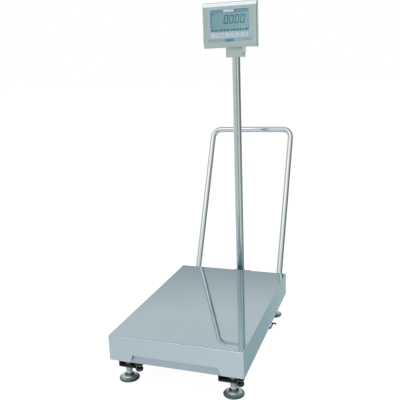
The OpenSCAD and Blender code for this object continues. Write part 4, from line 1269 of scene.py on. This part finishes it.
def carried():
    """Every CAD node gets its procedural material; the listed ones that stay also get softly rounded edges."""
    widths = {"front_end_plate": 0.35, "rear_end_plate": 0.35, "cross_members": 1.2, "pole_outrigger": 1.6, "bumper_brackets": 0.6,
              "pole_socket": 0.8, "guard_sockets": 0.8, "head_bracket": 1.0, "rear_case": 0.8, "tilt_yoke": 0.6, "upper_frame": 1.0,
              "foot_bosses": 0.7, "cable_gland": 0.4, "level_housing": 0.5, "overload_stops": 0.3, "load_cell": 0.6}
    for name, o in frame["nodes"].items():
        mat = M[SLOT[name]]
        if o.material_slots:
            for s in o.material_slots:
                s.material = mat
        else:
            o.data.materials.append(mat)
        if o.hide_render or name not in widths:
            continue
        b = o.modifiers.new("soft_edges", "BEVEL")
        b.width = widths[name] * MM
        b.segments = 2
        b.limit_method = "ANGLE"
        b.angle_limit = math.radians(40)
        b.harden_normals = False


cover()
rails()
bumpers()
pole()
guard()
feet()
base_bolts()
cable()
indicator()
head_fasteners()
carried()
even_normals()


# ------------------------------------------------------------------ stage
def world():
    w = bpy.data.worlds.new("studio")
    scene.world = w
    w.use_nodes = True
    t = w.node_tree
    t.nodes.clear()
    m = Mat("unused")
    bpy.data.materials.remove(m.mat)
    m.t = t
    out = t.nodes.new("ShaderNodeOutputWorld")
    tc = t.nodes.new("ShaderNodeTexCoord")
    d = m.xyz(tc.outputs["Generated"])
    az = m.math("ARCTAN2", d[1], d[0])                      # -pi..pi, 0 = +X, pi/2 = +Y
    fac = m.remap(az, -PI, PI, 0.0, 1.0)

    def pos(deg):
        return (deg + 180) / 360
    ring = m.ramp(fac, [(pos(a), v) for a, v in AZ], "EASE")
    ring = m.mix(m.remap(d[2], 0.08, 0.18, 0.0, 1.0), ring, m.mix(1.0, ring, (0.84, 0.86, 0.88), "MULTIPLY"))
    low = m.ramp(fac, [(pos(a), v) for a, v in AZ_LOW], "LINEAR")
    high = m.ramp(fac, [(pos(a), v) for a, v in AZ_HIGH], "EASE")
    down = m.mix(m.remap(d[2], -0.54, -0.66, 0.0, 1.0), low, FLOOR_TONE)
    fall_f = m.remap(d[2], -0.32, -0.46, 0.0, 1.0)
    fall_b = m.remap(d[2], -0.05, -0.20, 0.0, 1.0)
    level = m.mix(m.fmix(m.remap(d[1], -0.10, 0.10, 0.0, 1.0), fall_f, fall_b), ring, down)
    front = m.mix(m.remap(d[2], 0.38, 0.60, 0.0, 1.0), level, high)
    el = m.remap(d[2], -0.2, 1.0, 0.0, 1.0)
    back = m.mix(m.remap(d[2], 0.02, 0.14, 0.0, 1.0), level, m.ramp(el, [((z + 0.2) / 1.2, v) for z, v in EL], "LINEAR"))
    gloss = m.mix(m.remap(d[1], 0.15, 0.55, 0.0, 1.0), front, back)
    lp = t.nodes.new("ShaderNodeLightPath")
    soft = m.mix(m.remap(d[2], -0.1, 0.9, 0.0, 1.0), (0.80, 0.84, 0.86), (1.0, 1.0, 1.0))
    c = m.mix(lp.outputs["Is Glossy Ray"], soft, gloss)
    c = m.mix(lp.outputs["Is Camera Ray"], c, (1.0, 1.0, 1.0))
    bg = t.nodes.new("ShaderNodeBackground")
    t.links.new(c, bg.inputs[0])
    bg.inputs[1].default_value = 1.0
    t.links.new(bg.outputs[0], out.inputs[0])


# brightness round the horizon (degrees about +Z from +X), and with height
AZ = [(-180, 0.67), (-137, 0.62), (-109, 0.63), (-102, 0.82), (-92, 0.56), (-80, 0.36), (-66, 0.42), (-48, 0.74), (-28, 0.78), (-14, 0.50), (-4, 0.16), (40, 0.16),
      (58, 0.34), (70, 0.66), (78, 0.86), (95, 0.94), (160, 1.0), (172, 0.80), (180, 0.67)]
AZ_LOW = [(-180, 0.60), (-130, (0.75, 0.72, 0.73)), (-105, (0.82, 0.80, 0.82)), (-80, 0.55), (-50, 0.60), (-10, 0.35), (40, 0.25), (70, (0.34, 0.43, 0.47)),
          (75.5, (0.355, 0.455, 0.49)), (77.8, (0.375, 0.48, 0.505)), (79.6, (0.53, 0.61, 0.635)), (84, 0.56), (100, 0.80), (160, 0.92), (180, 0.60)]
AZ_HIGH = [(-180, 0.66), (-140, 0.85), (-125, (1.50, 1.38, 1.56)), (-112, (1.50, 1.38, 1.56)), (-101, 1.12), (-68, 1.08), (-45, 0.85), (-20, 0.40), (10, 0.18),
           (45, 0.20), (90, 0.36), (140, 0.50), (180, 0.66)]
EL = [(-0.2, 0.8), (0.0, 0.92), (0.14, 0.78), (0.24, 0.45), (0.33, 0.44), (0.41, 0.72), (0.47, 0.74), (0.53, 0.56), (0.60, 0.25), (0.85, 0.18), (1.0, 0.75)]
FLOOR_TONE = (0.58, 0.62, 0.68)


def floor():
    bm = bmesh.new()
    n = 24
    vs = [[bm.verts.new(((i / n - 0.5) * 120, (j / n - 0.5) * 120, 0)) for j in range(n + 1)] for i in range(n + 1)]
    for i in range(n):
        for j in range(n):
            bm.faces.new((vs[i][j], vs[i + 1][j], vs[i + 1][j + 1], vs[i][j + 1]))
    m = Mat("floor")
    p = m.coords()
    tone = m.mix(m.remap(m.noise(p, 1.2, 2, 0.5), 0.3, 0.7, 0, 1), (0.80, 0.81, 0.82), (0.83, 0.84, 0.85))
    dif = m.node("ShaderNodeBsdfDiffuse")
    m.put(dif.inputs["Color"], tone)
    em = m.node("ShaderNodeEmission")
    em.inputs["Color"].default_value = (1, 1, 1, 1)
    em.inputs["Strength"].default_value = 1.07
    lp = m.node("ShaderNodeLightPath")
    m.surface(m.mixshader(m.math("MULTIPLY", lp.outputs["Is Camera Ray"], 0.90), dif, em))
    me = bpy.data.meshes.new("floor")
    bm.to_mesh(me)
    bm.free()
    me.materials.append(m.mat)
    o = bpy.data.objects.new("floor", me)
    scene.collection.objects.link(o)
    o.visible_glossy = False


def area(name, loc, target, size, power, color=(1, 1, 1)):
    l = bpy.data.lights.new(name, "AREA")
    l.shape = "RECTANGLE"
    l.size, l.size_y = size
    l.energy = power
    l.color = color
    o = bpy.data.objects.new(name, l)
    scene.collection.objects.link(o)
    o.location = loc
    o.rotation_mode = "QUATERNION"
    o.rotation_quaternion = (Vector(target) - Vector(loc)).to_track_quat("-Z", "Y")
    o.visible_glossy = False
    return o


world()
floor()
area("key_soft", (-2.2, -2.4, 2.9), (0, -0.1, 0.5), (2.4, 2.4), 55)
area("fill_soft", (2.6, -1.8, 2.0), (0, 0, 0.6), (2.0, 2.0), 20)
area("top_soft", (0.2, 0.4, 3.4), (0, 0, 0.2), (3.0, 3.0), 30)

cam = bpy.data.cameras.new("camera")
cam.sensor_width = 36.0
cam.sensor_fit = "HORIZONTAL"
cam.lens = 49.834
cam.clip_start = 0.05
cam.clip_end = 200
co = bpy.data.objects.new("camera", cam)
scene.collection.objects.link(co)
r0 = (0.9451072, 0.3247986, -0.0357524)
r1 = (0.0395018, -0.2221798, -0.9742052)
r2 = (-0.3243639, 0.9193161, -0.2228138)
co.matrix_world = Matrix(((r0[0], -r1[0], -r2[0], 0.683977), (r0[1], -r1[1], -r2[1], -2.196558), (r0[2], -r1[2], -r2[2], 1.085786), (0, 0, 0, 1)))
scene.camera = co
scene.view_settings.view_transform = "Standard"
scene.view_settings.look = "None"
scene.view_settings.exposure = 0.0
scene.view_settings.gamma = 1.0
